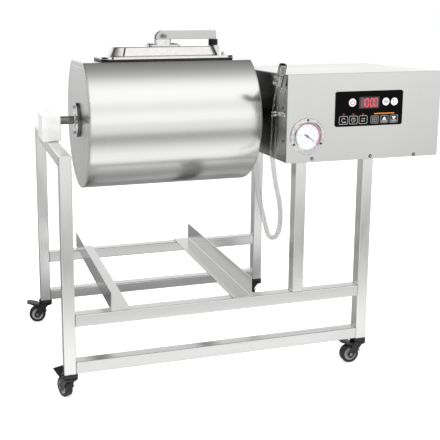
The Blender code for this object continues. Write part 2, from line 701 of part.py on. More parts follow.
def build_housing(mats, root):
    """Folded floor, a cover of four walls, and a front sheet with returns on all sides."""
    steel = mats["satin_steel"]
    sheet = HOUSING_SHEET
    x0, x1 = HOUSING_X, HOUSING_X + HOUSING_LENGTH
    y0, y1 = HOUSING_Y, HOUSING_Y + HOUSING_DEPTH
    z0, z1 = HOUSING_FOOT, HOUSING_TOP
    inner_x0, inner_x1 = x0 + sheet + GAP, x1 - sheet - GAP
    wall_y = y0 + sheet + GAP

    floor_top = z0 + FLOOR_SHEET
    flange = FLOOR_SHEET
    back_of_return = y0 + sheet + FRONT_RETURN
    floor = box((inner_x0, wall_y, z0), (inner_x1, y1 - sheet - GAP, floor_top))
    tray = box((inner_x0, back_of_return + GAP, z0), (inner_x1, y1 - sheet - GAP, floor_top + FLOOR_FLANGE))
    hollow = box((inner_x0 + flange, y0, floor_top), (inner_x1 - flange, y1 - sheet - GAP - flange, z1))
    port = rod("Z", PORT_X, PORT_Y, PORT_RADIUS + GAP, z0 - sheet, floor_top + sheet, MEDIUM)
    add("housing_floor", combine(floor, add=[tray], cut=[hollow, port]), steel, root)

    shell = box((x0, wall_y, z0), (x1, y1, z1))
    room = box((x0 + sheet, y0 - sheet, z0 - sheet), (x1 - sheet, y1 - sheet, z1 - sheet))
    shaft = rod("X", AXIS_Y, AXIS_Z, SHAFT_HOLE, x0 - sheet, x0 + 2 * sheet)
    slots = []
    for index in range(LOUVRES):
        z = z0 + 0.3 * HOUSING_HEIGHT + index * LOUVRE_PITCH
        middle = (x0 + x1) / 2
        slot = box((middle - LOUVRE_LENGTH, y1 - 2 * sheet, z), (middle, y1 + sheet, z + LOUVRE_SLOT))
        slots.append(slot)
    inlet = box(*inlet_cutout(GAP))
    add("housing_cover", combine(shell, cut=[room, shaft, inlet] + slots), steel, root)

    front = box((x0, y0, z0), (x1, y0 + sheet, z1))
    low = (inner_x0, y0 + sheet / 2, floor_top + GAP)
    high = (inner_x1, back_of_return, z1 - sheet - GAP)
    returns = box(low, high)
    inside = box((low[0] + sheet, y0 + sheet, low[2] + sheet), (high[0] - sheet, y1, high[2] - sheet))
    gauge = rod("Y", GAUGE_X, GAUGE_Z, GAUGE_CASE + GAP, y0 - sheet, y0 + 2 * sheet)
    panel = prism(panel_outline(BOX_MARGIN - GAP), "Y", y0 - sheet, y0 + 2 * sheet)
    add("housing_front", combine(front, add=[returns], cut=[inside, gauge, panel]), steel, root)


def panel_outline(inset):
    """Rounded outline of the control panel in X, Z, drawn in by an inset."""
    x = HOUSING_X + PANEL_RIGHT + PANEL_LENGTH / 2
    z = HOUSING_FOOT + PANEL_UP + PANEL_HEIGHT / 2
    corner = max(PANEL_CORNER - inset, PANEL_CORNER / 2)
    return rounded(x, z, PANEL_LENGTH - 2 * inset, PANEL_HEIGHT - 2 * inset, corner, 4)


def build_panel(mats, root):
    """Keypad plate on the front sheet with its box behind it."""
    back = HOUSING_Y - GAP
    plate = prism(panel_outline(0), "Y", back - PANEL_SHEET, back)
    casing = prism(panel_outline(BOX_MARGIN), "Y", back - PANEL_SHEET / 2, HOUSING_Y + BOX_DEPTH)
    add("control_panel", combine(plate, add=[casing]), mats["black_plastic"], root)


def inlet_cutout(slack):
    """Opening in the housing's back wall for the mains inlet, as its two corners."""
    x, z = HOUSING_X + HOUSING_LENGTH - INLET_FROM_RIGHT, HOUSING_FOOT + INLET_UP
    y = HOUSING_Y + HOUSING_DEPTH
    half_x, half_z = INLET_LENGTH / 2 + slack, INLET_HEIGHT / 2 + slack
    return (x - half_x, y - 2 * HOUSING_SHEET, z - half_z), (x + half_x, y + HOUSING_SHEET, z + half_z)


def build_inlet(mats, root):
    """Three-pin mains inlet: a flange outside the back wall, a body inside it and a recessed mouth."""
    low, high = inlet_cutout(0)
    y = HOUSING_Y + HOUSING_DEPTH + GAP
    x, z = HOUSING_X + HOUSING_LENGTH - INLET_FROM_RIGHT, HOUSING_FOOT + INLET_UP
    plate = rounded(x, z, INLET_FLANGE_LENGTH, INLET_FLANGE_HEIGHT, INLET_FLANGE)
    flange = prism(plate, "Y", y, y + INLET_FLANGE)
    body = box((low[0], y - INLET_DEPTH, low[2]), (high[0], y + INLET_FLANGE / 2, high[2]))
    wall, floor = INLET_WALL, y - INLET_MOUTH
    mouth = box((low[0] + wall, floor, low[2] + wall), (high[0] - wall, y + 2 * INLET_FLANGE, high[2] - wall))
    pins = []
    half_x, half_z = INLET_PIN_WIDTH / 2, INLET_PIN_HEIGHT / 2
    for side, lift in ((-1, -0.25), (0, 0.5), (1, -0.25)):
        px, pz = x + side * INLET_PIN_PITCH, z + lift * INLET_PIN_HEIGHT
        pins.append(box((px - half_x, floor - wall, pz - half_z), (px + half_x, floor + INLET_PIN_LENGTH, pz + half_z)))
    socket = bmesh_of(combine(flange, add=[body], cut=[mouth]))
    add("power_inlet", combine(socket, add=pins), mats["black_plastic"], root)


def bmesh_of(mesh):
    bm = bmesh.new()
    bm.from_mesh(mesh)
    return bm


def build_gauge(mats, root):
    """Panel-mounted vacuum gauge: case with flange and bezel, dial, needle and window."""
    face = HOUSING_Y - GAP
    flange = face - FLANGE_SHEET
    bezel = flange - GAUGE_BEZEL + FLANGE_SHEET
    lip = bezel + 1 * MM
    glass_back = lip + GAP + GLASS_SHEET + GAP
    room = GAUGE_WINDOW + 1.5 * MM
    needle_front = glass_back + 0.6 * MM
    dial_front = needle_front + NEEDLE_SHEET + 0.6 * MM
    cup = dial_front + DIAL_SHEET + GAP
    profile = [
        (0, face + GAUGE_DEPTH),
        (GAUGE_CASE - 3 * MM, face + GAUGE_DEPTH),
        (GAUGE_CASE, face + GAUGE_DEPTH - 3 * MM),
        (GAUGE_CASE, face),
        (GAUGE_FLANGE, face),
        (GAUGE_FLANGE, flange + 0.5 * MM),
        (GAUGE_FLANGE - 0.5 * MM, flange),
        (GAUGE_CASE, flange),
        (GAUGE_CASE - 1.5 * MM, bezel),
        (GAUGE_WINDOW + 1 * MM, bezel),
        (GAUGE_WINDOW, lip),
        (room, lip),
        (room, cup),
        (0, cup),
    ]
    add("gauge_case", turned(profile, "Y", GAUGE_X, GAUGE_Z, FINE), mats["polished_steel"], root)
    glass = rod("Y", GAUGE_X, GAUGE_Z, room - GAP, lip + GAP, lip + GAP + GLASS_SHEET)
    add("gauge_glass", glass, mats["clear_glass"], root)
    dial = rod("Y", GAUGE_X, GAUGE_Z, room - GAP, dial_front, dial_front + DIAL_SHEET)
    add("gauge_dial", dial, mats["dial_white"], root)

    pivot = empty("needle_axis", (GAUGE_X, 0, GAUGE_Z), root)
    half = NEEDLE_WIDTH / 2
    outline = [(-NEEDLE_TAIL, -half), (0, -half), (NEEDLE_LENGTH, -half / 4)]
    outline += [(NEEDLE_LENGTH, half / 4), (0, half), (-NEEDLE_TAIL, half)]
    c, s = cos(NEEDLE_REST), sin(NEEDLE_REST)
    outline = [(x * c - z * s, x * s + z * c) for x, z in outline]
    hub = rod("Y", 0, 0, NEEDLE_WIDTH, needle_front, needle_front + NEEDLE_SHEET, COARSE)
    pointer = combine(hub, add=[prism(outline, "Y", needle_front, needle_front + NEEDLE_SHEET)])
    add("gauge_needle", pointer, mats["black_plastic"], pivot)


def build_gear_motor(mats, root):
    """Worm gear motor on the housing's floor: its hollow output shaft takes the drum's drive shaft."""
    floor = HOUSING_FOOT + FLOOR_SHEET + GAP
    x = HOUSING_X + GEARBOX_LEFT
    end = x + GEARBOX_LENGTH
    worm_z = AXIS_Z + WORM_HEIGHT
    outline = arc(AXIS_Y, AXIS_Z, GEARBOX_RADIUS, 1.25 * pi, pi, 4)
    outline += arc(AXIS_Y, worm_z, WORM_RADIUS, pi, 0, 12)
    outline += arc(AXIS_Y, AXIS_Z, GEARBOX_RADIUS, 0, -0.25 * pi, 4)
    outline += [(AXIS_Y + GEARBOX_RADIUS, floor), (AXIS_Y - GEARBOX_RADIUS, floor)]
    body = prism(outline, "X", x, end)
    rings = rod("X", AXIS_Y, AXIS_Z, HUB_RING, x - RING_STANDS_OUT, end + RING_STANDS_OUT, FINE)
    middle = (x + end) / 2
    front = AXIS_Y - WORM_RADIUS
    motor_end = front - MOTOR_NECK
    motor = rod("Y", middle, worm_z, MOTOR_RADIUS, motor_end - MOTOR_LENGTH, motor_end, FINE)
    neck = rod("Y", middle, worm_z, WORM_RADIUS - RING_STANDS_OUT, motor_end - MOTOR_NECK, AXIS_Y, MEDIUM)
    bore = rod("X", AXIS_Y, AXIS_Z, DRIVE_SHAFT_RADIUS + RUNNING, x - TUBE, end + TUBE, FINE)
    add("gear_motor", combine(body, add=[rings, neck, motor], cut=[bore]), mats["cast_metal"], root)


def build_pump(mats, root):
    """Vacuum pump: base plate, motor in its saddle, crankcase and cylinder."""
    floor = HOUSING_FOOT + FLOOR_SHEET + GAP
    end, y = HOUSING_X + HOUSING_LENGTH - PUMP_FROM_RIGHT, HOUSING_Y + PUMP_BACK
    x, back, middle = end - PUMP_LENGTH, y + PUMP_WIDTH, y + PUMP_WIDTH / 2
    plate_top = floor + PUMP_PLATE
    sunk = plate_top - GAP
    motor_z = floor + PUMP_LIFT + PUMP_RADIUS
    plate = box((x, y, floor), (end, back, plate_top))
    case_x = end - PUMP_HEAD
    motor = rod("X", middle, motor_z, PUMP_RADIUS, x + PUMP_EDGE, case_x + PUMP_EDGE, FINE)
    saddle_x = (x + case_x - PUMP_SADDLE) / 2
    half = PUMP_SADDLE / 2
    saddle = box((saddle_x, middle - half, sunk), (saddle_x + PUMP_SADDLE, middle + half, motor_z))
    case = box((case_x, y + PUMP_EDGE, sunk), (end, back - PUMP_EDGE, motor_z))
    barrel_x = case_x + PUMP_HEAD / 2
    barrel = rod("Z", barrel_x, middle, BARREL_RADIUS, motor_z - PUMP_PLATE, motor_z + BARREL_HEIGHT, MEDIUM)
    add("vacuum_pump", combine(plate, add=[saddle, motor, case, barrel]), mats["cast_metal"], root)


def smooth_route(points, step):
    """Points of a smooth curve through the route, about one step apart."""
    padded = [2 * points[0] - points[1]] + points + [2 * points[-1] - points[-2]]
    found = []
    for a, b, c, d in zip(padded, padded[1:], padded[2:], padded[3:]):
        count = max(1, round((c - b).length / step))
        for index in range(count):
            t = index / count
            curve = 2 * b + (c - a) * t + (2 * a - 5 * b + 4 * c - d) * t ** 2
            found.append((curve + (3 * b - 3 * c + d - a) * t ** 3) / 2)
    return found + [points[-1]]


def build_hose(mats, root):
    """Vacuum hose from its port under the housing, through a clip, to the coupler it ends in."""
    points = smooth_route(HOSE_ROUTE, HOSE_STEP)
    curve = bpy.data.curves.new("vacuum_hose", "CURVE")
    curve.dimensions = "3D"
    curve.bevel_depth = HOSE_RADIUS
    curve.bevel_resolution = 3
    curve.use_fill_caps = True
    spline = curve.splines.new("POLY")
    spline.points.add(len(points) - 1)
    for target, point in zip(spline.points, points):
        target.co = (*point, 1)
    curve.materials.append(mats["clear_hose"])
    hose = bpy.data.objects.new("vacuum_hose", curve)
    hose.parent = root
    bpy.context.scene.collection.objects.link(hose)

    build_hose_port(mats, root)
    build_clip(mats, root)
    build_coupler(mats, root, HOSE_ROUTE[0], (HOSE_ROUTE[0] - HOSE_ROUTE[1]).normalized())


def build_hose_port(mats, root):
    """Bulkhead union through the housing's floor; the hose comes up to its barb."""
    under = HOUSING_FOOT - GAP
    hose_end = HOSE_ROUTE[-1].z
    inside = HOUSING_FOOT + FLOOR_SHEET
    profile = [
        (0, hose_end + GAP),
        (PORT_RADIUS - 1 * MM, hose_end + GAP),
        (PORT_RADIUS, under - PORT_DROP * 0.55),
        (PORT_RADIUS, under - PORT_DROP * 0.4),
        (PORT_HEX, under - PORT_DROP * 0.4),
        (PORT_HEX, under),
        (PORT_RADIUS, under),
        (PORT_RADIUS, inside + 6 * MM),
        (0, inside + 6 * MM),
    ]
    add("hose_port", turned(profile, "Z", PORT_X, PORT_Y), mats["polished_steel"], root)


def build_clip(mats, root):
    """Sheet clip screwed to the housing's left wall that holds the hose below the coupler."""
    hose_x, hose_y, middle = HOSE_ROUTE[2]
    z = middle - CLIP_WIDTH / 2
    inner = HOSE_RADIUS + CLIP_SLACK
    outer = inner + CLIP_SHEET
    wall = HOUSING_X - GAP
    ring = rod("Z", hose_x, hose_y, outer, z, z + CLIP_WIDTH, MEDIUM)
    hole = rod("Z", hose_x, hose_y, inner, z - CLIP_SHEET, z + CLIP_WIDTH + CLIP_SHEET, MEDIUM)
    link = box((hose_x + inner, hose_y - 3 * MM, z), (wall, hose_y + 3 * MM, z + CLIP_WIDTH))
    tab = box((wall - CLIP_SHEET, hose_y - 30 * MM, z), (wall, hose_y + 3 * MM, z + CLIP_WIDTH))
    add("hose_clip", combine(ring, add=[link, tab], cut=[hole]), mats["satin_steel"], root)


def build_coupler(mats, root, foot, direction):
    """Quick coupler on the hose's free end: sleeve, body and two side fittings, open at its mouth."""
    axis = empty("coupler_axis", foot, root)
    axis.rotation_euler = direction.to_track_quat("Z", "X").to_euler()
    bpy.context.view_layer.update()
    turn = direction.to_track_quat("Z", "X").to_matrix().inverted()
    sideways = turn @ Vector((-1, 0, 0))
    profile = [
        (0, GAP),
        (COUPLER_NECK, GAP),
        (COUPLER_NECK, COUPLER_LENGTH * 0.52),
        (COUPLER_RADIUS, COUPLER_LENGTH * 0.56),
        (COUPLER_RADIUS, COUPLER_LENGTH * 0.96),
        (COUPLER_RADIUS - 0.8 * MM, COUPLER_LENGTH),
        (COUPLER_RADIUS * 0.62, COUPLER_LENGTH),
        (COUPLER_RADIUS * 0.55, COUPLER_LENGTH * 0.72),
        (0, COUPLER_LENGTH * 0.72),
    ]
    body = turned(profile, "Z", 0, 0)
    bosses = []
    for height, size in ((0.44, BUTTON_RADIUS), (0.17, BUTTON_RADIUS * 1.25)):
        boss = rod("Z", 0, 0, size, 0, COUPLER_RADIUS + BUTTON_STANDS_OUT, COARSE)
        lay = sideways.to_track_quat("Z", "X").to_matrix().to_4x4()
        lift = Matrix.Translation((0, 0, COUPLER_LENGTH * height))
        bmesh.ops.transform(boss, matrix=lift @ lay, verts=boss.verts)
        bosses.append(boss)
    add("hose_coupler", combine(body, add=bosses), mats["polished_steel"], axis)


def build_casters(mats, root):
    """Four swivelling casters with pedals; one set of meshes serves all four."""
    shapes = {
        "seat": (caster_seat(), "black_plastic"),
        "fork": (caster_fork(), "zinc"),
        "wheel": (caster_wheel(), "black_rubber"),
        "pedal": (caster_pedal(), "black_plastic"),
    }
    half = TUBE / 2
    spots = {
        "front_left": (half, half),
        "front_right": (RIGHT_LEG_X + half, half),
        "back_left": (half, FRAME_DEPTH - half),
        "back_right": (BACK_LEG_X + half, FRAME_DEPTH - half),
    }
    offsets = {"seat": (0, 0, 0), "fork": (0, 0, 0), "wheel": (TRAIL, 0, WHEEL_RADIUS), "pedal": pedal_pivot()}
    for corner, (x, y) in spots.items():
        upright = empty(f"{corner}_leg_foot", (x, y, 0), root)
        swivel = empty(f"{corner}_swivel_axis", (x, y, 0), root, HEADINGS[corner])
        for part, (mesh, mat) in shapes.items():
            carrier = upright if part == "seat" else swivel
            add(f"{corner}_caster_{part}", mesh, mats[mat], carrier, offsets[part])


def pedal_pivot():
    """Pivot of the brake pedal in the caster's frame: between the cheeks, under the crown's edge."""
    return (SEAT_RADIUS - PEDAL_TONGUE / 2, 0, crown_underside() - PEDAL_SHEET * 0.75)


def crown_underside():
    return CASTER_HEIGHT - SEAT_HEIGHT - 2 * GAP - FORK_CROWN


def caster_seat():
    """Plastic dome under the leg with the square plug that holds it in the tube."""
    top = CASTER_HEIGHT - GAP
    foot = top - SEAT_HEIGHT
    dome = turned(
        [
            (0, foot),
            (SEAT_RADIUS, foot),
            (SEAT_RADIUS, top - SEAT_ROUND),
            (SEAT_RADIUS - SEAT_ROUND, top),
            (0, top),
        ],
        "Z", 0, 0,
    )
    half = TUBE / 2 - TUBE_WALL - GAP
    plug = box((-half, -half, top - GAP), (half, half, top + PLUG_HEIGHT))
    return combine(dome, add=[plug])


def caster_fork():
    """Swivel crown, two cheeks and the axle between them."""
    crown_low = crown_underside()
    crown = rod("Z", 0, 0, SEAT_RADIUS, crown_low, crown_low + FORK_CROWN, MEDIUM)
    inner = WHEEL_WIDTH / 2 + CHEEK_GAP
    outline = arc(TRAIL, WHEEL_RADIUS, CHEEK_FOOT, -0.75 * pi, 0.1 * pi, 8)
    top = crown_low + FORK_CROWN / 2
    outline += [(SEAT_RADIUS * 0.6, top), (-SEAT_RADIUS * 0.5, top)]
    cheeks = []
    for side in (-1, 1):
        near, far = sorted((side * inner, side * (inner + FORK_CHEEK)))
        cheeks.append(prism(outline, "Y", near, far))
    reach = inner + FORK_CHEEK + AXLE_STANDS_OUT
    axle = rod("Y", TRAIL, WHEEL_RADIUS, AXLE_RADIUS, -reach, reach, COARSE)
    return combine(crown, add=cheeks + [axle])


def caster_wheel():
    """Tyre and hub in one turned solid with a running bore."""
    half = WHEEL_WIDTH / 2
    bore = AXLE_RADIUS + GAP
    rim = WHEEL_RADIUS * 0.66
    dish = half - HUB_RECESS
    profile = [
        (WHEEL_RADIUS, half - TYRE_ROUND),
        (WHEEL_RADIUS - TYRE_ROUND, half),
        (rim, half),
        (rim - HUB_RECESS / 2, dish),
        (bore + 2 * HUB_RECESS, dish),
        (bore + HUB_RECESS, half),
        (bore, half),
    ]
    profile += [(radius, -y) for radius, y in reversed(profile)]
    return mesh_of(turned(profile, "Y", 0, 0))


def caster_pedal():
    """Brake pedal about its pivot: a tongue between the cheeks and a wide tread that rises to a lip."""
    thick = PEDAL_SHEET
    tread_start = PEDAL_TONGUE / 2 + 2 * MM
    tongue_half = WHEEL_WIDTH / 2 + CHEEK_GAP - GAP
    tongue = box((-PEDAL_TONGUE / 2, -tongue_half, -thick / 2), (tread_start + 2 * MM, tongue_half, thick / 2))
    end = tread_start + PEDAL_LENGTH
    outline = [
        (tread_start, -thick / 2),
        (tread_start + PEDAL_LENGTH * 0.4, PEDAL_RISE * 0.4 - thick / 2),
        (end, PEDAL_RISE),
        (end, PEDAL_RISE + thick / 2),
        (tread_start + PEDAL_LENGTH * 0.4, PEDAL_RISE * 0.6 + thick / 2),
        (tread_start, thick),
    ]
    half = PEDAL_WIDTH / 2
    return combine(prism(outline, "Y", -half, half), add=[tongue])


def centre_on_origin(root):
    """Moves the machine so that the origin lies on the floor under the middle of its outline."""
    bpy.context.view_layer.update()
    graph = bpy.context.evaluated_depsgraph_get()
    corners = []
    for obj in bpy.context.scene.objects:
        if obj.type == "EMPTY" or obj.name in ("vacuum_hose", "hose_coupler"):
            continue
        seen = obj.evaluated_get(graph)
        corners += [obj.matrix_world @ vertex.co for vertex in seen.to_mesh().vertices]
        seen.to_mesh_clear()
    for axis in (0, 1):
        values = [corner[axis] for corner in corners]
        root.location[axis] = -round((min(values) + max(values)) / 2, 4)
    bpy.context.view_layer.update()


def main():
    for obj in list(bpy.data.objects):
        bpy.data.objects.remove(obj)
    mats = make_materials()
    root = empty("tumbler", (0, 0, 0))
    build_frame(mats, root)
    build_tray_slides(mats, root)
    build_bearing_block(mats, root)
    drum = empty("drum_axis", (0, AXIS_Y, AXIS_Z), root)
    build_drum(mats, drum)
    lid = empty("lid_frame", (LID_X, 0, FLAT_HEIGHT), drum)
    build_lid(mats, lid)
    pivot_z = PAN_TOP + GAP + LEVER_PLATE + PIVOT_HEIGHT
    build_lever(mats, empty("lever_axis", (LEVER_PIVOT_OFFSET, 0, pivot_z), lid))
    build_relief_valve(mats, empty("valve_axis", (0, 0, 0), lid))
    build_housing(mats, root)
    build_panel(mats, root)
    build_inlet(mats, root)
    build_gauge(mats, root)
    build_gear_motor(mats, root)
    build_pump(mats, root)
    build_hose(mats, root)
    build_casters(mats, root)
    centre_on_origin(root)


main()
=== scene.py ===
"""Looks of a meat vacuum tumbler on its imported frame.

Laid out as an add-on and run as a script. Every piece is drawn in the machine's own
millimetres (X from the left legs along the drum, Y from the front legs to the back, Z up
from the floor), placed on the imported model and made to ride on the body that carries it.
Each finish is procedural and scaled from a real size.
"""

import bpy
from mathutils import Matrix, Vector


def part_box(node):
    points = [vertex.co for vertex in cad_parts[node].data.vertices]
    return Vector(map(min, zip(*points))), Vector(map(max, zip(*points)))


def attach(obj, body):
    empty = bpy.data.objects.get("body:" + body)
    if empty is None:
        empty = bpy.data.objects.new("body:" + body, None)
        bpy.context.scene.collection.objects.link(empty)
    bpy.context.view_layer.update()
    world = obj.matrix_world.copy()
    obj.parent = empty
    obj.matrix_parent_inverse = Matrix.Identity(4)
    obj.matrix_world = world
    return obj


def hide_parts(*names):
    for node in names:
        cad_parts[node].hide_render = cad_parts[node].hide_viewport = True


bl_info = {
    "name": "Meat vacuum tumbler",
    "version": (1, 0, 0),
    "blender": (4, 5, 0),
    "location": "3D View > Sidebar > Tumbler",
    "description": "Dresses the packed tumbler: steel, plastic, rubber, glass, prints and stage",
    "category": "Object",
}

from math import atan2, cos, pi, radians, sin

import bmesh
import bpy
from mathutils import Matrix, Vector

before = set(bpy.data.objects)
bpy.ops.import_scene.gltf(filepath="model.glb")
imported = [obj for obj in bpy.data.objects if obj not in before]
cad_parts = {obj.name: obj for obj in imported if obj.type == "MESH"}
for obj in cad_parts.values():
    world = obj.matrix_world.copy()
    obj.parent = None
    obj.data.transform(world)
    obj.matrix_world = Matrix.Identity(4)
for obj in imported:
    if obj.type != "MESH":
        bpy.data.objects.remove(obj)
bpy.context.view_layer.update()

MM = 0.001
CORNER = Vector((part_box("front_left_leg")[0].x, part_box("front_left_leg")[0].y, 0))
MACHINE = Matrix.Translation(CORNER) @ Matrix.Scale(MM, 4)
PICTURE = 440
SHARP = radians(28)
ALONG_X = Matrix.Rotation(pi / 2, 4, "Y")
ALONG_Y = Matrix.Rotation(-pi / 2, 4, "X")
TOWARDS_FRONT = Matrix.Rotation(pi / 2, 4, "X")
UPRIGHT = Matrix.Identity(4)
CASTERS = ("front_left", "front_right", "back_left", "back_right")
BRIGHT = 1.6


def linear(code):
    """Linear colour of an sRGB hex value."""
    parts = [int(code[i:i + 2], 16) / 255 for i in (1, 3, 5)]
    return tuple(p / 12.92 if p <= 0.04045 else ((p + 0.055) / 1.055) ** 2.4 for p in parts)


def span(node):
    """Lowest and highest corner of a CAD node, in the machine's millimetres."""
    low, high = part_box(node)
    return (low - CORNER) / MM, (high - CORNER) / MM


def colour(name, description, code):
    """Setting for a colour, given as an sRGB hex value."""
    return bpy.props.FloatVectorProperty(
        name=name, description=description, subtype="COLOR", size=3, min=0, max=1, default=linear(code))


def amount(name, description, default):
    """Setting for a share between 0 and 1."""
    return bpy.props.FloatProperty(
        name=name, description=description, subtype="FACTOR", min=0, max=1, default=default)


def size(name, description, default):
    """Setting for a length, given in millimetres."""
    return bpy.props.FloatProperty(
        name=name, description=description, subtype="DISTANCE", unit="LENGTH", min=0, default=default * MM)


# Places of the machine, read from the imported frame
DRUM_LOW, DRUM_HIGH = span("drum_shell")
END_LEFT, END_RIGHT = span("drum_left_end"), span("drum_right_end")
HOUSE_LOW = span("housing_front")[0]
AXIS = Vector((0, (DRUM_LOW.y + DRUM_HIGH.y) / 2, DRUM_LOW.z + (DRUM_HIGH.y - DRUM_LOW.y) / 2))
RADIUS = (DRUM_HIGH.y - DRUM_LOW.y) / 2
FLAT = DRUM_HIGH.z - AXIS.z
LID_LOW, LID_HIGH = span("lid")
LID_MIDDLE = Vector(((LID_LOW.x + LID_HIGH.x) / 2, AXIS.y, DRUM_HIGH.z))
GAUGE_LOW, GAUGE_HIGH = span("gauge_case")
GAUGE = Vector(((GAUGE_LOW.x + GAUGE_HIGH.x) / 2, GAUGE_LOW.y, (GAUGE_LOW.z + GAUGE_HIGH.z) / 2))


class TumblerSteel(bpy.types.PropertyGroup):
    """Stainless steel of the drum, the tubes, the sheets and the polished fittings."""

    drum: colour("Drum", "Colour of the rolled drum's steel", "#E7E7E6")
    drum_blur: amount("Drum roughness", "Roughness of the drum's satin grain", 0.19)
    tube: colour("Tubes", "Colour of the ground square tube", "#F0F0EF")
    tube_blur: amount("Tube roughness", "Roughness of the ground tube", 0.22)
    sheet: colour("Housing sheet", "Colour of the housing's brushed sheet", "#DCDCDB")
    sheet_blur: amount("Housing roughness", "Roughness of the brushed sheet", 0.2)
    polish: colour("Polished steel", "Colour of the lid, the hubs and the fittings", "#E9E8E6")
    polish_blur: amount("Polish roughness", "Roughness of the polished fittings", 0.1)
    bead: size("Weld bead", "Radius of the weld beads where tubes meet", 1.1)


class TumblerPlastics(bpy.types.PropertyGroup):
    """Plastics and rubbers."""

    nylon: colour("Black nylon", "Caster seats, pedals and the mains inlet", "#121213")
    rubber: colour("Black rubber", "Tyres, gasket and the lever's buffer", "#0E0E0F")
    hub: colour("Wheel centre", "Moulded wheel centres", "#8E8F91")
    acetal: colour("White acetal", "Machined bearing block", "#F6F6F5")
    hose: colour("Clear hose", "Clear PVC of the vacuum hose", "#FBFBFB")


class TumblerPanel(bpy.types.PropertyGroup):
    """Keypad film, its prints and its lit parts."""

    film: colour("Film", "Printed back of the keypad film", "#050506")
    white: colour("White print", "Round keys and outlines", "#F3F2F0")
    grey: colour("Grey print", "Set keys", "#8C8C8C")
    orange: colour("Orange print", "Line over the set keys", "#E88A2C")
    lit: colour("Lit red", "Display segments and lamps", "#E8505E")
    glow: bpy.props.FloatProperty(
        name="Glow", description="Strength of the lit segments", min=0, max=5, default=0.55)


class TumblerStage(bpy.types.PropertyGroup):
    """Floor, daylight and camera."""

    floor: colour("Floor", "Pale floor", "#EFEFEF")
    sky: bpy.props.FloatProperty(
        name="Daylight", description="Strength of the even light from all round", min=0, max=3, default=0.62)
    key: bpy.props.FloatProperty(
        name="Key lamp", description="Power of the soft lamp at the front left", unit="POWER", min=0,
        default=62)
    fill: bpy.props.FloatProperty(
        name="Fill lamp", description="Power of the soft lamp at the front right", unit="POWER", min=0,
        default=30)
    top: bpy.props.FloatProperty(
        name="Top lamp", description="Power of the soft lamp overhead", unit="POWER", min=0, default=40)


GROUPS = {
    "tumbler_steel": TumblerSteel,
    "tumbler_plastics": TumblerPlastics,
    "tumbler_panel": TumblerPanel,
    "tumbler_stage": TumblerStage,
}


# Nodes and surfaces


def add_node(tree, kind, values=None, links=None, **settings):
    """A node of that kind with its settings, its input values and the sockets that feed it."""
    made = tree.nodes.new(kind)
    for name, value in settings.items():
        setattr(made, name, value)
    for name, value in (values or {}).items():
        made.inputs[name].default_value = value
    for name, socket in (links or {}).items():
        tree.links.new(socket, made.inputs[name])
    return made


def surface(name, tone, roughness, metallic=0.0, **values):
    """A new material: constants stand on its own shader's sockets. Returns material, tree, shader."""
    mat = bpy.data.materials.new(name)
    mat.use_nodes = True
    mat.diffuse_color = (*tone, 1)
    shader = mat.node_tree.nodes["Principled BSDF"]
    fixed = {"Base Color": (*tone, 1), "Roughness": roughness, "Metallic": metallic}
    fixed.update({key.replace("_", " "): value for key, value in values.items()})
    for socket, value in fixed.items():
        shader.inputs[socket].default_value = value
    return mat, mat.node_tree, shader


def marks(tree, sizes, detail=4.0, rough=0.55, distortion=0.0):
    """Noise whose marks have these sizes in millimetres along X, Y and Z of the piece."""
    spot = add_node(tree, "ShaderNodeTexCoord")
    scale = [1 / (s * MM) for s in sizes]
    drawn = add_node(tree, "ShaderNodeMapping", {"Scale": scale}, {"Vector": spot.outputs["Object"]})
    values = {"Scale": 1.0, "Detail": detail, "Roughness": rough, "Distortion": distortion}
    return add_node(tree, "ShaderNodeTexNoise", values, {"Vector": drawn.outputs["Vector"]}).outputs["Fac"]


def tint(tree, shader, factor, tone, darker, lighter=1.0, low=0.35, high=0.65):
    """Colour that goes from darker to lighter shares of a tone as the factor rises."""
    ramp = add_node(tree, "ShaderNodeValToRGB", links={"Fac": factor})
    for stop, place, share in zip(ramp.color_ramp.elements, (low, high), (darker, lighter)):
        stop.position = place
        stop.color = (*[min(1.0, part * share) for part in tone], 1)
    tree.links.new(ramp.outputs["Color"], shader.inputs["Base Color"])


def blur(tree, shader, factor, low, high):
    """Roughness between two values as the factor rises."""
    ends = {"From Min": 0.3, "From Max": 0.7, "To Min": low, "To Max": high}
    spread = add_node(tree, "ShaderNodeMapRange", ends, {"Value": factor})
    tree.links.new(spread.outputs["Result"], shader.inputs["Roughness"])


def emboss(tree, shader, height, depth, strength=1.0):
    """Bump of this depth in millimetres."""
    bump = add_node(tree, "ShaderNodeBump", {"Distance": depth * MM, "Strength": strength},
                    {"Height": height})
    tree.links.new(bump.outputs["Normal"], shader.inputs["Normal"])
    return bump.outputs["Normal"]


def mixed(tree, first, second, share=0.5):
    """Two patterns laid over each other."""
    values = {"Factor": share}
    return add_node(tree, "ShaderNodeMix", values, {"A": first, "B": second}).outputs["Result"]


def drum_steel(steel):
    """Rolled 304 stainless, satin-brushed round the drum: soft bands along it, fine lines round it."""
    mat, tree, shader = surface("drum_rolled_satin_stainless", steel.drum, steel.drum_blur, 1.0)
    # Grinding lines are 0.05 mm apart; they are drawn 1.7 mm apart so that they show
    lines = marks(tree, (1.7, 160, 160), 4.0, 0.55)
    drift = marks(tree, (260, 120, 120), 2.0)
    tint(tree, shader, mixed(tree, lines, drift), steel.drum, 0.965)
    blur(tree, shader, mixed(tree, lines, drift, 0.3), steel.drum_blur * 0.9, steel.drum_blur * 1.12)
    emboss(tree, shader, lines, 0.004, 0.3)
    return mat


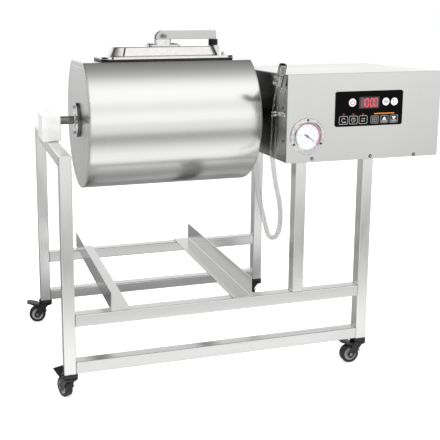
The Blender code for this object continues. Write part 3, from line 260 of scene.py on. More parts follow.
def end_steel(steel):
    """Flat stainless end sheet, brushed upwards: evenly grey, with faint upright lines."""
    mat, tree, shader = surface("drum_end_brushed_stainless", steel.drum, steel.drum_blur * 1.5, 1.0)
    lines = marks(tree, (60, 1.6, 140), 5.0, 0.6)
    drift = marks(tree, (90, 60, 140), 2.0)
    tint(tree, shader, mixed(tree, lines, drift), steel.drum, 0.86, 0.97)
    blur(tree, shader, lines, steel.drum_blur * 1.2, steel.drum_blur * 1.8)
    emboss(tree, shader, lines, 0.01, 0.4)
    return mat


def tube_steel(steel, axis, share=1.0):
    """Square 304 tube, belt-ground along its length: pale, with long fine lines and dull patches."""
    mat, tree, shader = surface(f"tube_ground_stainless_{axis}", steel.tube, steel.tube_blur, 1.0)
    # Belt lines are 0.1 mm apart; they are drawn 1.5 mm apart so that they show
    across, along = 1.5, 110
    lines = marks(tree, [along if letter == axis else across for letter in "xyz"], 4.0, 0.6)
    patches = marks(tree, [70 if letter == axis else 22 for letter in "xyz"], 3.0)
    tint(tree, shader, mixed(tree, lines, patches), steel.tube, 0.93 * share, share)
    blur(tree, shader, mixed(tree, patches, lines, 0.4), steel.tube_blur * 0.8, steel.tube_blur * 1.25)
    emboss(tree, shader, lines, 0.006, 0.4)
    return mat


def sheet_steel(steel, name, axis, share=1.0, left_wall_shade=1.0):
    """Stainless sheet with a number 4 brushed finish: even grey with close parallel lines.
    The last argument is the share of the tone that faces turned to the left keep: painted shade on the left
    wall beside the drum's end."""
    mat, tree, shader = surface(f"{name}_brushed_stainless", steel.sheet, steel.sheet_blur, 1.0)
    # Brush lines are 0.08 mm apart; they are drawn 1.3 mm apart so that they show
    lines = marks(tree, [160 if letter == axis else 1.3 for letter in "xyz"], 5.0, 0.6)
    drift = marks(tree, [260 if letter == axis else 90 for letter in "xyz"], 1.5)
    tone = [part * share for part in steel.sheet]
    tint(tree, shader, mixed(tree, lines, drift), tone, 0.94)
    # Painted shade: faces turned to the left are drawn in a darker share of the tone
    if left_wall_shade < 1.0:
        facing = add_node(tree, "ShaderNodeNewGeometry")
        side = add_node(tree, "ShaderNodeSeparateXYZ", links={"Vector": facing.outputs["True Normal"]})
        near = add_node(tree, "ShaderNodeMath", {1: -0.8}, {0: side.outputs["X"]}, operation="LESS_THAN")
        grain_and_left_shade = add_node(tree, "ShaderNodeMix", {"B": [part * left_wall_shade for part in tone] + [1]}, {
            "Factor": near.outputs["Value"], "A": shader.inputs["Base Color"].links[0].from_socket},
            data_type="RGBA")
        tree.links.new(grain_and_left_shade.outputs["Result"], shader.inputs["Base Color"])
    blur(tree, shader, mixed(tree, lines, drift, 0.6), steel.sheet_blur * 0.85, steel.sheet_blur * 1.2)
    emboss(tree, shader, lines, 0.005, 0.4)
    return mat


def polished_steel(steel, name="fittings", darker=0.9, dull=1.0, share=1.0):
    """Turned or drawn stainless, buffed to a mirror: bright, with faint swirls and smears."""
    tone, haze = [part * share for part in steel.polish], steel.polish_blur * dull
    mat, tree, shader = surface(f"{name}_polished_stainless", tone, haze, 1.0)
    smears = marks(tree, (14, 14, 9), 4.0, 0.6, 0.4)
    swirls = marks(tree, (1.6, 5, 1.6), 3.0)
    tint(tree, shader, smears, tone, darker)
    blur(tree, shader, smears, haze * 0.6, haze * 1.7)
    emboss(tree, shader, swirls, 0.003, 0.4)
    return mat


def lever_steel():
    """Bent stainless strip, bead-blasted: satin grey without a direction."""
    mat, tree, shader = surface("lever_blasted_stainless", linear("#D3D3D2"), 0.34, 1.0)
    beads = marks(tree, (1.4, 1.4, 1.4), 3.0)
    wear = marks(tree, (60, 12, 2.2), 4.0)
    tint(tree, shader, mixed(tree, beads, wear), linear("#D3D3D2"), 0.88)
    blur(tree, shader, wear, 0.28, 0.42)
    emboss(tree, shader, beads, 0.012, 0.5)
    return mat


def weld_steel():
    """TIG-welded seam: rippled bead, greyed by its heat."""
    mat, tree, shader = surface("tig_weld_bead", linear("#B6B5B2"), 0.34, 1.0)
    heat = marks(tree, (9, 9, 9), 2.0)
    ripple = marks(tree, (1.8, 1.8, 1.8), 2.0)
    tint(tree, shader, heat, linear("#C2C0BC"), 0.72)
    blur(tree, shader, ripple, 0.26, 0.46)
    emboss(tree, shader, ripple, 0.08, 0.6)
    return mat


def zinc_plate(name="pressed", tone="#A9ACAF"):
    """Zinc-plated pressed steel: bluish grey with cloudy crystals."""
    mat, tree, shader = surface(f"{name}_zinc_plated_steel", linear(tone), 0.36, 1.0)
    clouds = marks(tree, (5, 5, 5), 4.0, 0.6)
    tint(tree, shader, clouds, linear(tone), 0.72, 1.06)
    blur(tree, shader, clouds, 0.26, 0.48)
    emboss(tree, shader, marks(tree, (1.2, 1.2, 1.2), 3.0), 0.01, 0.5)
    return mat


def cast_aluminium():
    """Sand-cast aluminium of the gear motor and the pump: grey and pebbled."""
    mat, tree, shader = surface("sand_cast_aluminium", linear("#9EA0A1"), 0.55, 1.0)
    pebbles = marks(tree, (2.2, 2.2, 2.2), 5.0)
    tint(tree, shader, pebbles, linear("#A6A8A9"), 0.7)
    blur(tree, shader, pebbles, 0.45, 0.7)
    emboss(tree, shader, pebbles, 0.2, 0.7)
    return mat


def white_acetal(plastics):
    """Machined white acetal: waxy white with faint cutter arcs, a little grease at the bore."""
    mat, tree, shader = surface("milled_white_acetal", plastics.acetal, 0.34, IOR=1.48,
                                Subsurface_Weight=0.08)
    shader.inputs["Subsurface Radius"].default_value = (3 * MM, 3 * MM, 3 * MM)
    cutter = marks(tree, (2.4, 18, 2.4), 3.0)
    stain = marks(tree, (26, 26, 18), 3.0)
    tint(tree, shader, stain, plastics.acetal, 0.9)
    blur(tree, shader, cutter, 0.28, 0.44)
    emboss(tree, shader, cutter, 0.03, 0.5)
    return mat


def moulded_nylon(plastics, name="moulded_black_nylon", tone=None, gloss=0.3):
    """Injection-moulded nylon: fine spark-eroded texture, scuffed a little lighter."""
    tone = tone or tuple(plastics.nylon)
    mat, tree, shader = surface(name, tone, gloss, IOR=1.53)
    spark = marks(tree, (0.9, 0.9, 0.9), 2.0)
    scuff = marks(tree, (8, 8, 5), 5.0, 0.65)
    tint(tree, shader, scuff, tone, 0.75, 1.5)
    blur(tree, shader, scuff, gloss * 0.75, gloss * 1.5)
    emboss(tree, shader, spark, 0.025, 0.5)
    return mat


def black_rubber(plastics, name="moulded_black_rubber", gloss=0.46):
    """Moulded rubber: deep black and soft-edged, greyed by dust where it runs."""
    tone = tuple(plastics.rubber)
    mat, tree, shader = surface(name, tone, gloss, IOR=1.52)
    dust = marks(tree, (6, 9, 6), 5.0, 0.65)
    tint(tree, shader, dust, tone, 0.8, 2.4, 0.4, 0.78)
    blur(tree, shader, dust, gloss * 0.8, gloss * 1.4)
    emboss(tree, shader, marks(tree, (1.1, 1.1, 1.1), 3.0), 0.03, 0.6)
    return mat


def keypad_film(panel):
    """Polyester film printed black behind: deep black, lightly pebbled, fairly glossy."""
    tone = tuple(panel.film)
    mat, tree, shader = surface("printed_polyester_film", tone, 0.3, IOR=1.4)
    shader.inputs["Specular IOR Level"].default_value = 0.08
    pebble = marks(tree, (0.9, 0.9, 0.9), 2.0)
    smears = marks(tree, (24, 24, 15), 4.0)
    tint(tree, shader, smears, tone, 0.8, 1.35)
    blur(tree, shader, smears, 0.24, 0.4)
    emboss(tree, shader, pebble, 0.012, 0.4)
    return mat


def print_ink(name, tone, gloss=0.35):
    """Screen-printed ink: flat and dense, with a faint uneven lay."""
    mat, tree, shader = surface(f"screen_printed_{name}_ink", tuple(tone), gloss)
    lay = marks(tree, (1.5, 1.5, 1.5), 4.0)
    tint(tree, shader, lay, tuple(tone), 0.92, 1.04)
    blur(tree, shader, lay, gloss * 0.8, gloss * 1.2)
    emboss(tree, shader, lay, 0.006, 0.4)
    return mat


def lit_segment(panel):
    """Light-emitting segments behind a red filter: bright red with a softer edge."""
    mat, tree, shader = surface("lit_red_segment", tuple(panel.lit), 0.4)
    shader.inputs["Emission Strength"].default_value = panel.glow
    cells = marks(tree, (1.2, 1.2, 1.2), 2.0)
    ramp = add_node(tree, "ShaderNodeValToRGB", links={"Fac": cells})
    ramp.color_ramp.elements[0].color = (*[part * 0.75 for part in panel.lit], 1)
    ramp.color_ramp.elements[1].color = (*panel.lit, 1)
    for socket in ("Base Color", "Emission Color"):
        tree.links.new(ramp.outputs["Color"], shader.inputs[socket])
    return mat


def clear_glass(name, tint_code, roughness, ior):
    """Clear pane: polished, with a trace of haze; thin enough to be drawn as a faint veil."""
    tone = linear(tint_code)
    mat, tree, shader = surface(name, tone, roughness, Alpha=0.12, IOR=ior)
    haze = marks(tree, (12, 12, 12), 3.0)
    tint(tree, shader, haze, tone, 0.96)
    blur(tree, shader, haze, roughness * 0.5, roughness * 1.6)
    return mat


def hose_pvc(plastics):
    """Extruded clear PVC: see-through, smoky at its edges, with faint lines along it."""
    tone = tuple(plastics.hose)
    mat, tree, shader = surface("extruded_clear_pvc", tone, 0.04, Alpha=0.4, Transmission_Weight=1.0,
                                IOR=1.16)
    haze = marks(tree, (9, 9, 30), 3.0)
    tint(tree, shader, haze, tone, 0.97, 1.0)
    blur(tree, shader, haze, 0.02, 0.06)
    emboss(tree, shader, haze, 0.002, 0.2)
    return mat


# Shapes


def ring(bm, points):
    return [bm.verts.new(point) for point in points]


def skin(rings, closed=False, caps=True):
    """Rings of points joined into a surface; closed joins the last ring to the first."""
    bm = bmesh.new()
    loops = [ring(bm, points) for points in rings]
    pairs = list(zip(loops, loops[1:]))
    if closed:
        pairs.append((loops[-1], loops[0]))
    for one, two in pairs:
        for i in range(len(one)):
            j = (i + 1) % len(one)
            bm.faces.new((one[i], one[j], two[j], two[i]))
    if caps and not closed:
        bm.faces.new(list(reversed(loops[0])))
        bm.faces.new(loops[-1])
    return bm


def turned(profile, steps=64, place=UPRIGHT):
    """Closed profile of (radius, height) turned about its own Z."""
    bm = bmesh.new()
    loops = []
    for radius, height in profile:
        if radius == 0:
            loops.append([bm.verts.new((0, 0, height))])
        else:
            loops.append(ring(bm, [
                (radius * cos(2 * pi * i / steps), radius * sin(2 * pi * i / steps), height)
                for i in range(steps)]))
    for one, two in zip(loops, loops[1:] + loops[:1]):
        if len(one) == 1 and len(two) == 1:
            continue
        for i in range(steps):
            j = (i + 1) % steps
            corners = [one[i % len(one)], one[j % len(one)], two[j % len(two)], two[i % len(two)]]
            bm.faces.new(list(dict.fromkeys(corners)))
    bmesh.ops.transform(bm, matrix=place, verts=bm.verts)
    return bm


def rounded(length, width, corner, steps=6, middle=(0, 0)):
    """Outline of a rectangle with rounded corners."""
    points = []
    spots = ((1, 1, 0), (-1, 1, 1), (-1, -1, 2), (1, -1, 3))
    for sx, sy, quarter in spots:
        for i in range(steps + 1):
            angle = (quarter + i / steps) * pi / 2
            x = middle[0] + sx * (length / 2 - corner) + corner * cos(angle)
            y = middle[1] + sy * (width / 2 - corner) + corner * sin(angle)
            points.append((x, y))
    return points


def slab(outline, low, high, place=UPRIGHT, edge=0.0, segments=2):
    """Outline in X, Y given thickness along Z, with eased edges."""
    bm = skin([[(x, y, low) for x, y in outline], [(x, y, high) for x, y in outline]])
    if edge:
        rims = [e for e in bm.edges if abs(e.verts[0].co.z - e.verts[1].co.z) < 1e-6]
        bmesh.ops.bevel(bm, geom=rims, offset=edge, segments=segments, profile=0.5, affect="EDGES")
    bmesh.ops.transform(bm, matrix=place, verts=bm.verts)
    return bm


def block(low, high, edge=0.0, segments=3):
    """Box between two corners with all its edges eased."""
    corners = [(low[0], low[1]), (high[0], low[1]), (high[0], high[1]), (low[0], high[1])]
    bm = skin([[(x, y, low[2]) for x, y in corners], [(x, y, high[2]) for x, y in corners]])
    if edge:
        bmesh.ops.bevel(bm, geom=bm.edges[:], offset=edge, segments=segments, profile=0.5, affect="EDGES")
    return bm


def tube_along(points, radius, steps=16, caps=True):
    """Round tube that follows points; radius is a number or one number for each point."""
    points = [Vector(point) for point in points]
    radii = [radius] * len(points) if isinstance(radius, (int, float)) else radius
    side = None
    rings = []
    for index, point in enumerate(points):
        before, after = points[max(0, index - 1)], points[min(len(points) - 1, index + 1)]
        ahead = (after - before).normalized()
        if side is None:
            side = ahead.orthogonal().normalized()
        side = (side - side.dot(ahead) * ahead).normalized()
        up = ahead.cross(side)
        rings.append([
            point + radii[index] * (side * cos(2 * pi * i / steps) + up * sin(2 * pi * i / steps))
            for i in range(steps)])
    return skin(rings, caps=caps)


def together(*shapes):
    """Several shapes in one mesh."""
    whole = bmesh.new()
    for shape in shapes:
        mesh = bpy.data.meshes.new("part")
        shape.to_mesh(mesh)
        shape.free()
        whole.from_mesh(mesh)
        bpy.data.meshes.remove(mesh)
    return whole


def copies(shape, places):
    """The same shape at each place."""
    mesh = bpy.data.meshes.new("part")
    shape.to_mesh(mesh)
    shape.free()
    whole = bmesh.new()
    for place in places:
        start = len(whole.verts)
        whole.from_mesh(mesh)
        whole.verts.ensure_lookup_table()
        bmesh.ops.transform(whole, matrix=place, verts=whole.verts[start:])
    bpy.data.meshes.remove(mesh)
    return whole


def carved(shape, cutters):
    """A shape with others cut out of it."""
    made = []
    for number, bm in enumerate([shape] + list(cutters)):
        bmesh.ops.recalc_face_normals(bm, faces=bm.faces)
        mesh = bpy.data.meshes.new("carving")
        bm.to_mesh(mesh)
        bm.free()
        obj = bpy.data.objects.new(f"carving_{number}", mesh)
        bpy.context.scene.collection.objects.link(obj)
        made.append(obj)
    for cutter in made[1:]:
        step = made[0].modifiers.new("cut", "BOOLEAN")
        step.operation = "DIFFERENCE"
        step.solver = "EXACT"
        step.object = cutter
    bpy.context.view_layer.update()
    graph = bpy.context.evaluated_depsgraph_get()
    done = bpy.data.meshes.new_from_object(made[0].evaluated_get(graph))
    bm = bmesh.new()
    bm.from_mesh(done)
    for obj in made:
        mesh = obj.data
        bpy.data.objects.remove(obj)
        bpy.data.meshes.remove(mesh)
    bpy.data.meshes.remove(done)
    return bm


def piece(name, shape, finish, body, place=UPRIGHT, stands_for=()):
    """A finished piece from a shape in the machine's millimetres, riding on its body."""
    bmesh.ops.transform(shape, matrix=MACHINE @ place, verts=shape.verts)
    bmesh.ops.recalc_face_normals(shape, faces=shape.faces)
    mesh = bpy.data.meshes.new(name)
    shape.to_mesh(mesh)
    shape.free()
    mesh.polygons.foreach_set("use_smooth", [True] * len(mesh.polygons))
    mesh.set_sharp_from_angle(angle=SHARP)
    mesh.materials.append(finish)
    obj = bpy.data.objects.new(name, mesh)
    bpy.context.scene.collection.objects.link(obj)
    # Normals weighed by area keep the flats flat beside their eased edges
    even = obj.modifiers.new("flats", "WEIGHTED_NORMAL")
    even.keep_sharp = True
    graph = bpy.context.evaluated_depsgraph_get()
    obj.data = bpy.data.meshes.new_from_object(obj.evaluated_get(graph))
    obj.modifiers.clear()
    bpy.data.meshes.remove(mesh)
    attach(obj, body)
    if stands_for:
        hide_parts(*stands_for)
    return obj


def finish_node(name, finish):
    """A CAD node that keeps its shape and gets its finish."""
    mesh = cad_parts[name].data
    mesh.materials.clear()
    mesh.materials.append(finish)


def shift(x, y, z, turn=UPRIGHT):
    """Placing matrix: this turn, then a move in the machine's millimetres."""
    return Matrix.Translation((x, y, z)) @ turn


def screw_head(radius, height):
    """Pan head on Z 0 with a cross recess."""
    profile = [(0, 0), (radius, 0), (radius, height * 0.35), (radius * 0.93, height * 0.7),
               (radius * 0.7, height * 0.94), (radius * 0.35, height), (0, height)]
    head = turned(profile, 28)
    arm, half = radius * 0.62, radius * 0.13
    cuts = [block((-arm, -half, height * 0.45), (arm, half, height * 2)),
            block((-half, -arm, height * 0.4), (half, arm, height * 2.1))]
    return carved(head, cuts)


def hex_head(across, height, socket=0.0):
    """Hexagon head on Z 0, or a round socket head where a socket is given."""
    if socket:
        body = turned([(0, 0), (across / 2, 0), (across / 2, height * 0.9),
                       (across / 2 - height * 0.1, height), (0, height)], 36)
        hole = slab([(socket / 2 * cos(i * pi / 3), socket / 2 * sin(i * pi / 3)) for i in range(6)],
                    height * 0.4, height * 2)
        return carved(body, [hole])
    outline = [(across / 2 / cos(pi / 6) * cos(i * pi / 3), across / 2 / cos(pi / 6) * sin(i * pi / 3))
               for i in range(6)]
    return slab(outline, 0, height, edge=height * 0.12, segments=2)


# Frame


def rounded_tube(node, axis, slope_low=0.0, slope_high=0.0):
    """Square tube with rolled corners where a CAD tube is; a slope mitres an end."""
    low, high = span(node)
    index = "xyz".index(axis)
    across = [i for i in range(3) if i != index]
    u, v = [(low[i] + high[i]) / 2 for i in across]
    width = min(high[i] - low[i] for i in across)
    rings = []
    for side, corner, order in ((width, 2.4, (low, high)), (width - 3, 1.2, (high, low))):
        outline = rounded(side, side, corner, 5)
        for end in order:
            slope = slope_low if end is low else slope_high
            seat = end[index] - abs(slope) * width / 2 * (1 if end is high else -1)
            points = []
            for p, q in outline:
                along = seat + slope * q
                spot = [0, 0, 0]
                spot[across[0]], spot[across[1]], spot[index] = u + p, v + q, along
                points.append(spot)
            rings.append(points)
    return skin(rings, closed=True)


def bead_round(middle, axis, side, radius):
    """Rippled weld bead round a square tube's end."""
    index = "xyz".index(axis)
    across = [i for i in range(3) if i != index]
    outline = rounded(side, side, 2.6, 4)
    path = []
    for start, end in zip(outline, outline[1:] + outline[:1]):
        gap = Vector(end) - Vector(start)
        count = max(1, round(gap.length / 1.1))
        path += [Vector(start) + gap * step / count for step in range(count)]
    points, radii = [], []
    for number, (p, q) in enumerate(path + path[:1]):
        spot = [0, 0, 0]
        spot[across[0]], spot[across[1]] = middle[across[0]] + p, middle[across[1]] + q
        spot[index] = middle[index]
        points.append(spot)
        radii.append(radius * (0.82 + 0.18 * cos(number * 1.9)))
    return tube_along(points, radii, 8)


class TUMBLER_OT_tubes(bpy.types.Operator):
    """Square-tube trolley with rolled corners, ground along each tube, and its weld beads"""

    bl_idname = "tumbler.tubes"
    bl_label = "Tubes and welds"
    bl_options = {"REGISTER", "UNDO"}

    def execute(self, context):
        steel = context.scene.tumbler_steel
        # Painted shade: the tubes along X get a copy of the same ground steel at 0.86 of its tone
        shares = {"x": 0.86, "y": 1.0, "z": 1.0}
        ground = {axis: tube_steel(steel, axis, share) for axis, share in shares.items()}
        tubes = {
            "front_left_leg": ("z", 0, -1), "back_left_leg": ("z", 0, 1), "left_top_beam": ("y", -1, 1),
            "front_right_leg": ("z", 0, 0), "front_middle_post": ("z", 0, 0), "back_right_leg": ("z", 0, 0),
            "housing_carrier_beam": ("y", 0, 0), "front_bottom_rail": ("x", 0, 0),
            "front_middle_rail": ("x", 0, 0), "back_bottom_rail": ("x", 0, 0),
            "back_middle_rail": ("x", 0, 0),
        }
        for node, (axis, slope_low, slope_high) in tubes.items():
            shape = rounded_tube(node, axis, slope_low, slope_high)
            piece(f"{node}_tube", shape, ground[axis], "frame", stands_for=[node])

        side = span("front_bottom_rail")[1].y - span("front_bottom_rail")[0].y
        beads = []
        for rail in ("front_bottom_rail", "front_middle_rail", "back_bottom_rail", "back_middle_rail"):
            low, high = span(rail)
            middle = (low + high) / 2
            for x in (low.x, high.x):
                beads.append(bead_round((x, middle.y, middle.z), "x", side - 0.6, steel.bead / MM))
        low, high = span("front_middle_post")
        beads.append(bead_round((low.x + side / 2, low.y + side / 2, low.z), "z", side - 0.6,
                                steel.bead / MM))
        for x0, x1, y in ((0, side, span("left_top_beam")[0].y), (0, side, span("left_top_beam")[1].y)):
            inner = side if y < side else -side
            top = span("left_top_beam")[1].z
            for x in (x0 + 0.2, x1 - 0.2):
                line = [Vector((x, y + inner * t, top - side * t)) for t in (0.06, 0.94)]
                beads.append(mitre_seam(line, steel.bead / MM * 0.55))
        piece("tube_weld_beads", together(*beads), weld_steel(), "frame")
        return {"FINISHED"}


def mitre_seam(line, radius):
    """Straight rippled bead between two points."""
    start, end = line
    count = max(2, round((end - start).length / 1.1))
    points = [start.lerp(end, i / count) for i in range(count + 1)]
    return tube_along(points, [radius * (0.85 + 0.15 * cos(i * 1.9)) for i in range(count + 1)], 8)


class TUMBLER_OT_tray_slides(bpy.types.Operator):
    """Bent angles on the middle rails that a tray slides on, tacked at both ends"""

    bl_idname = "tumbler.tray_slides"
    bl_label = "Tray slides"
    bl_options = {"REGISTER", "UNDO"}

    def execute(self, context):
        steel = context.scene.tumbler_steel
        brushed = sheet_steel(steel, "tray_slide", "y")
        tacks = []
        for node, side in (("left_tray_angle", 1), ("right_tray_angle", -1)):
            low, high = span(node)
            wall = low.x if side == 1 else high.x
            sheet, bend = 2.0, 4.0
            reach = (high.x - low.x)
            outline = [(0, high.z - low.z)]
            outline += [(bend - bend * cos(a), bend - bend * sin(a))
                        for a in [i * pi / 20 for i in range(11)]]
            outline += [(reach, 0), (reach, sheet)]
            inner = bend - sheet
            outline += [(bend - inner * cos(a), bend - inner * sin(a))
                        for a in [i * pi / 20 for i in range(10, -1, -1)]]
            outline += [(sheet, high.z - low.z)]
            rings = [[(wall + side * p, y, low.z + q) for p, q in outline] for y in (low.y, high.y)]
            shape = skin(rings)
            edges = [e for e in shape.edges if abs(e.verts[0].co.y - e.verts[1].co.y) < 1e-6]
            bmesh.ops.bevel(shape, geom=edges, offset=0.35, segments=1, affect="EDGES")
            piece(f"{node}_bent_sheet", shape, brushed, "frame", stands_for=[node])
            for y in (3.0, high.y - 3.0):
                toe = wall + side * reach
                tacks.append(mitre_seam([Vector((toe, y - 2.4 if y > 9 else y, low.z + 0.5)),
                                         Vector((toe, y if y > 9 else y + 2.4, low.z + 0.5))], 1.0))
        piece("tray_slide_tacks", together(*tacks), weld_steel(), "frame")
        return {"FINISHED"}


class TUMBLER_OT_bearing(bpy.types.Operator):
    """Milled bearing block with its bore and the two socket screws that hold it on the beam"""

    bl_idname = "tumbler.bearing"
    bl_label = "Bearing block"
    bl_options = {"REGISTER", "UNDO"}

    def execute(self, context):
        low, high = span("bearing_block")
        middle = (low + high) / 2
        body = block(low, high, 2.0, 3)
        bore = turned([(0, 0), (9.4, 0), (9.4, 60), (0, 60)], 48, shift(high.x - 34, AXIS.y, AXIS.z, ALONG_X))
        mouth = turned([(0, 0), (9.4, 0), (12.4, 3), (0, 3)], 48,
                       shift(high.x - 2.0, AXIS.y, AXIS.z, ALONG_X))
        wells = [turned([(0, 0), (6.2, 0), (6.2, 20), (0, 20)], 32, shift(middle.x, y, high.z - 9))
                 for y in (low.y + 14, high.y - 14)]
        piece("bearing_block_milled", carved(body, [bore, mouth] + wells),
              white_acetal(context.scene.tumbler_plastics), "frame",
              stands_for=["bearing_block"])
        places = [shift(middle.x, y, high.z - 8.9) for y in (low.y + 14, high.y - 14)]
        piece("bearing_block_screws", copies(hex_head(10, 6, 5), places), zinc_plate("socket_screw"),
              "frame")
        return {"FINISHED"}


# Drum


def drum_outline(inset, steps=220):
    """Section of the drum in Y, Z about its axis: a circle with a flat across its top."""
    radius, flat = RADIUS - inset, FLAT - inset
    edge = atan2(flat, (radius ** 2 - flat ** 2) ** 0.5)
    sweep = pi + 2 * edge
    points = [(radius * cos(pi - edge + sweep * i / steps), radius * sin(pi - edge + sweep * i / steps))
              for i in range(steps + 1)]
    return [(AXIS.y + y, AXIS.z + z) for y, z in points]


def flange_bolts(face, side, circle, count, across, height):
    places = []
    for i in range(count):
        angle = pi / 2 + 2 * pi * i / count
        turn = ALONG_X if side > 0 else Matrix.Rotation(-pi / 2, 4, "Y")
        places.append(shift(face, AXIS.y + circle * cos(angle), AXIS.z + circle * sin(angle), turn))
    return copies(hex_head(across, height, across * 0.5), places)


class TUMBLER_OT_drum(bpy.types.Operator):
    """Rolled D-section shell with its lid opening, the end sheets, hubs, shafts and paddles"""

    bl_idname = "tumbler.drum"
    bl_label = "Drum"
    bl_options = {"REGISTER", "UNDO"}

    def execute(self, context):
        steel = context.scene.tumbler_steel
        rolled, brushed = drum_steel(steel), end_steel(steel)
        x0, x1, wall = DRUM_LOW.x, DRUM_HIGH.x, 2.0
        rings = []
        for inset, ends in ((0, (x0, x1)), (wall, (x1, x0))):
            rings += [[(x, y, z) for y, z in drum_outline(inset)] for x in ends]
        gasket = span("lid_gasket")
        reach, width = gasket[1].x - gasket[0].x - 49, gasket[1].y - gasket[0].y - 49
        outline = rounded(reach, width, 17, 8, (LID_MIDDLE.x, AXIS.y))
        hole = slab(outline, DRUM_HIGH.z - 8, DRUM_HIGH.z + 8)
        piece("drum_rolled_shell", carved(skin(rings, closed=True), [hole]), rolled, "drum",
              stands_for=["drum_shell"])

        for node, (low, high), side in (("drum_left_end", END_LEFT, -1), ("drum_right_end", END_RIGHT, 1)):
            inner, outer = (high.x, low.x) if side < 0 else (low.x, high.x)
            steps = [(0, inner), (0, outer - side * 1.6), (0.25, outer - side * 0.8),
                     (0.8, outer - side * 0.25),
                     (1.6, outer), (9, outer), (10, outer - side * 0.5), (11, outer - side * 0.5),
                     (12, outer)]
            shape = skin([[(x, y, z) for y, z in drum_outline(inset)] for inset, x in steps])
            piece(f"{node}_sheet", shape, brushed, "drum", stands_for=[node])
            seam = [(inner - side * 0.15, y, z) for y, z in drum_outline(0.25, 160)]
            ripples = [0.42 + 0.1 * cos(i * 2.1) for i in range(len(seam) + 1)]
            piece(f"{node}_seam", tube_along(seam + seam[:1], ripples, 6), weld_steel(), "drum")

        polish = polished_steel(steel, "hub")
        # The ground shaft and the flange's edge are drawn dark grey, at 0.3 of the polished tone: painted
        # shade.
        shade_painted_steel = polished_steel(steel, "shade_painted_shaft", 0.6, 1.0, 0.3)
        for node, side, shaft in (("left_hub", -1, 9.0), ("right_hub", 1, 12.0)):
            low, high = span(node)
            face, tip = (high.x, low.x) if side < 0 else (low.x, high.x)
            plate = face + side * 7
            profile = [(0, face), (38.2, face), (38.4, plate - side * 0.9), (37.0, plate - side * 0.4),
                       (28, plate + side * 0.3), (19, plate + side * 0.6), (17.2, plate + side * 0.9),
                       (16, plate + side * 1.6), (15.6, plate + side * 2.6), (14.6, plate + side * 3),
                       (0, plate + side * 3)]
            turn = shift(0, AXIS.y, AXIS.z, ALONG_X)
            piece(f"{node}_flange", turned(profile, 96, turn), polish, "drum",
                  stands_for=[node])
            edge = turned([(38.1, face), (38.8, face), (39, face + side * 0.3), (39, plate - side * 1.6),
                           (38.5, plate - side * 0.8), (38.1, plate - side * 0.8)], 96, turn)
            rod = turned([(0, plate), (shaft + 0.8, plate + side * 2.8), (shaft, plate + side * 3.6),
                          (shaft, tip - side * 1.4), (shaft - 1.2, tip), (0, tip)], 64, turn)
            piece(f"{node}_shaft", together(edge, rod), shade_painted_steel, "drum")
            bolts = flange_bolts(plate + side * 0.1, side, 29, 4, 7.0, 3.0)
            piece(f"{node}_bolts", bolts, zinc_plate("hub_screw", "#C4C5C6"), "drum")
        paddle_finish = end_steel(steel)
        for number in (1, 2, 3):
            finish_node(f"paddle_{number}", paddle_finish)
        return {"FINISHED"}


# Lid and lever

# Length, width and corner radius
RIM_OUTLINE = (308, 131, 30)
PAN_OUTLINE = (256, 87, 34)
LID_SHEET = 2.5
LEVER_LENGTH = 126.0
LEVER_DEPTH = 19.5
LEVER_SHEET = 2.0
LEVER_BELOW_PIN = 7.2
CHANNEL_HALF = 6.9
STEM_HOLE = 2.9


def lid_ring(inset, corner_inset, height, pan=False):
    """Ring of the lid's section about the lid's middle: its rim's or its raised pan's outline, inset."""
    length, width, corner = PAN_OUTLINE if pan else RIM_OUTLINE
    outline = rounded(length - 2 * inset, width - 2 * inset, corner - corner_inset, 12)
    return [(LID_MIDDLE.x + x, AXIS.y + y, LID_MIDDLE.z + height) for x, y in outline]


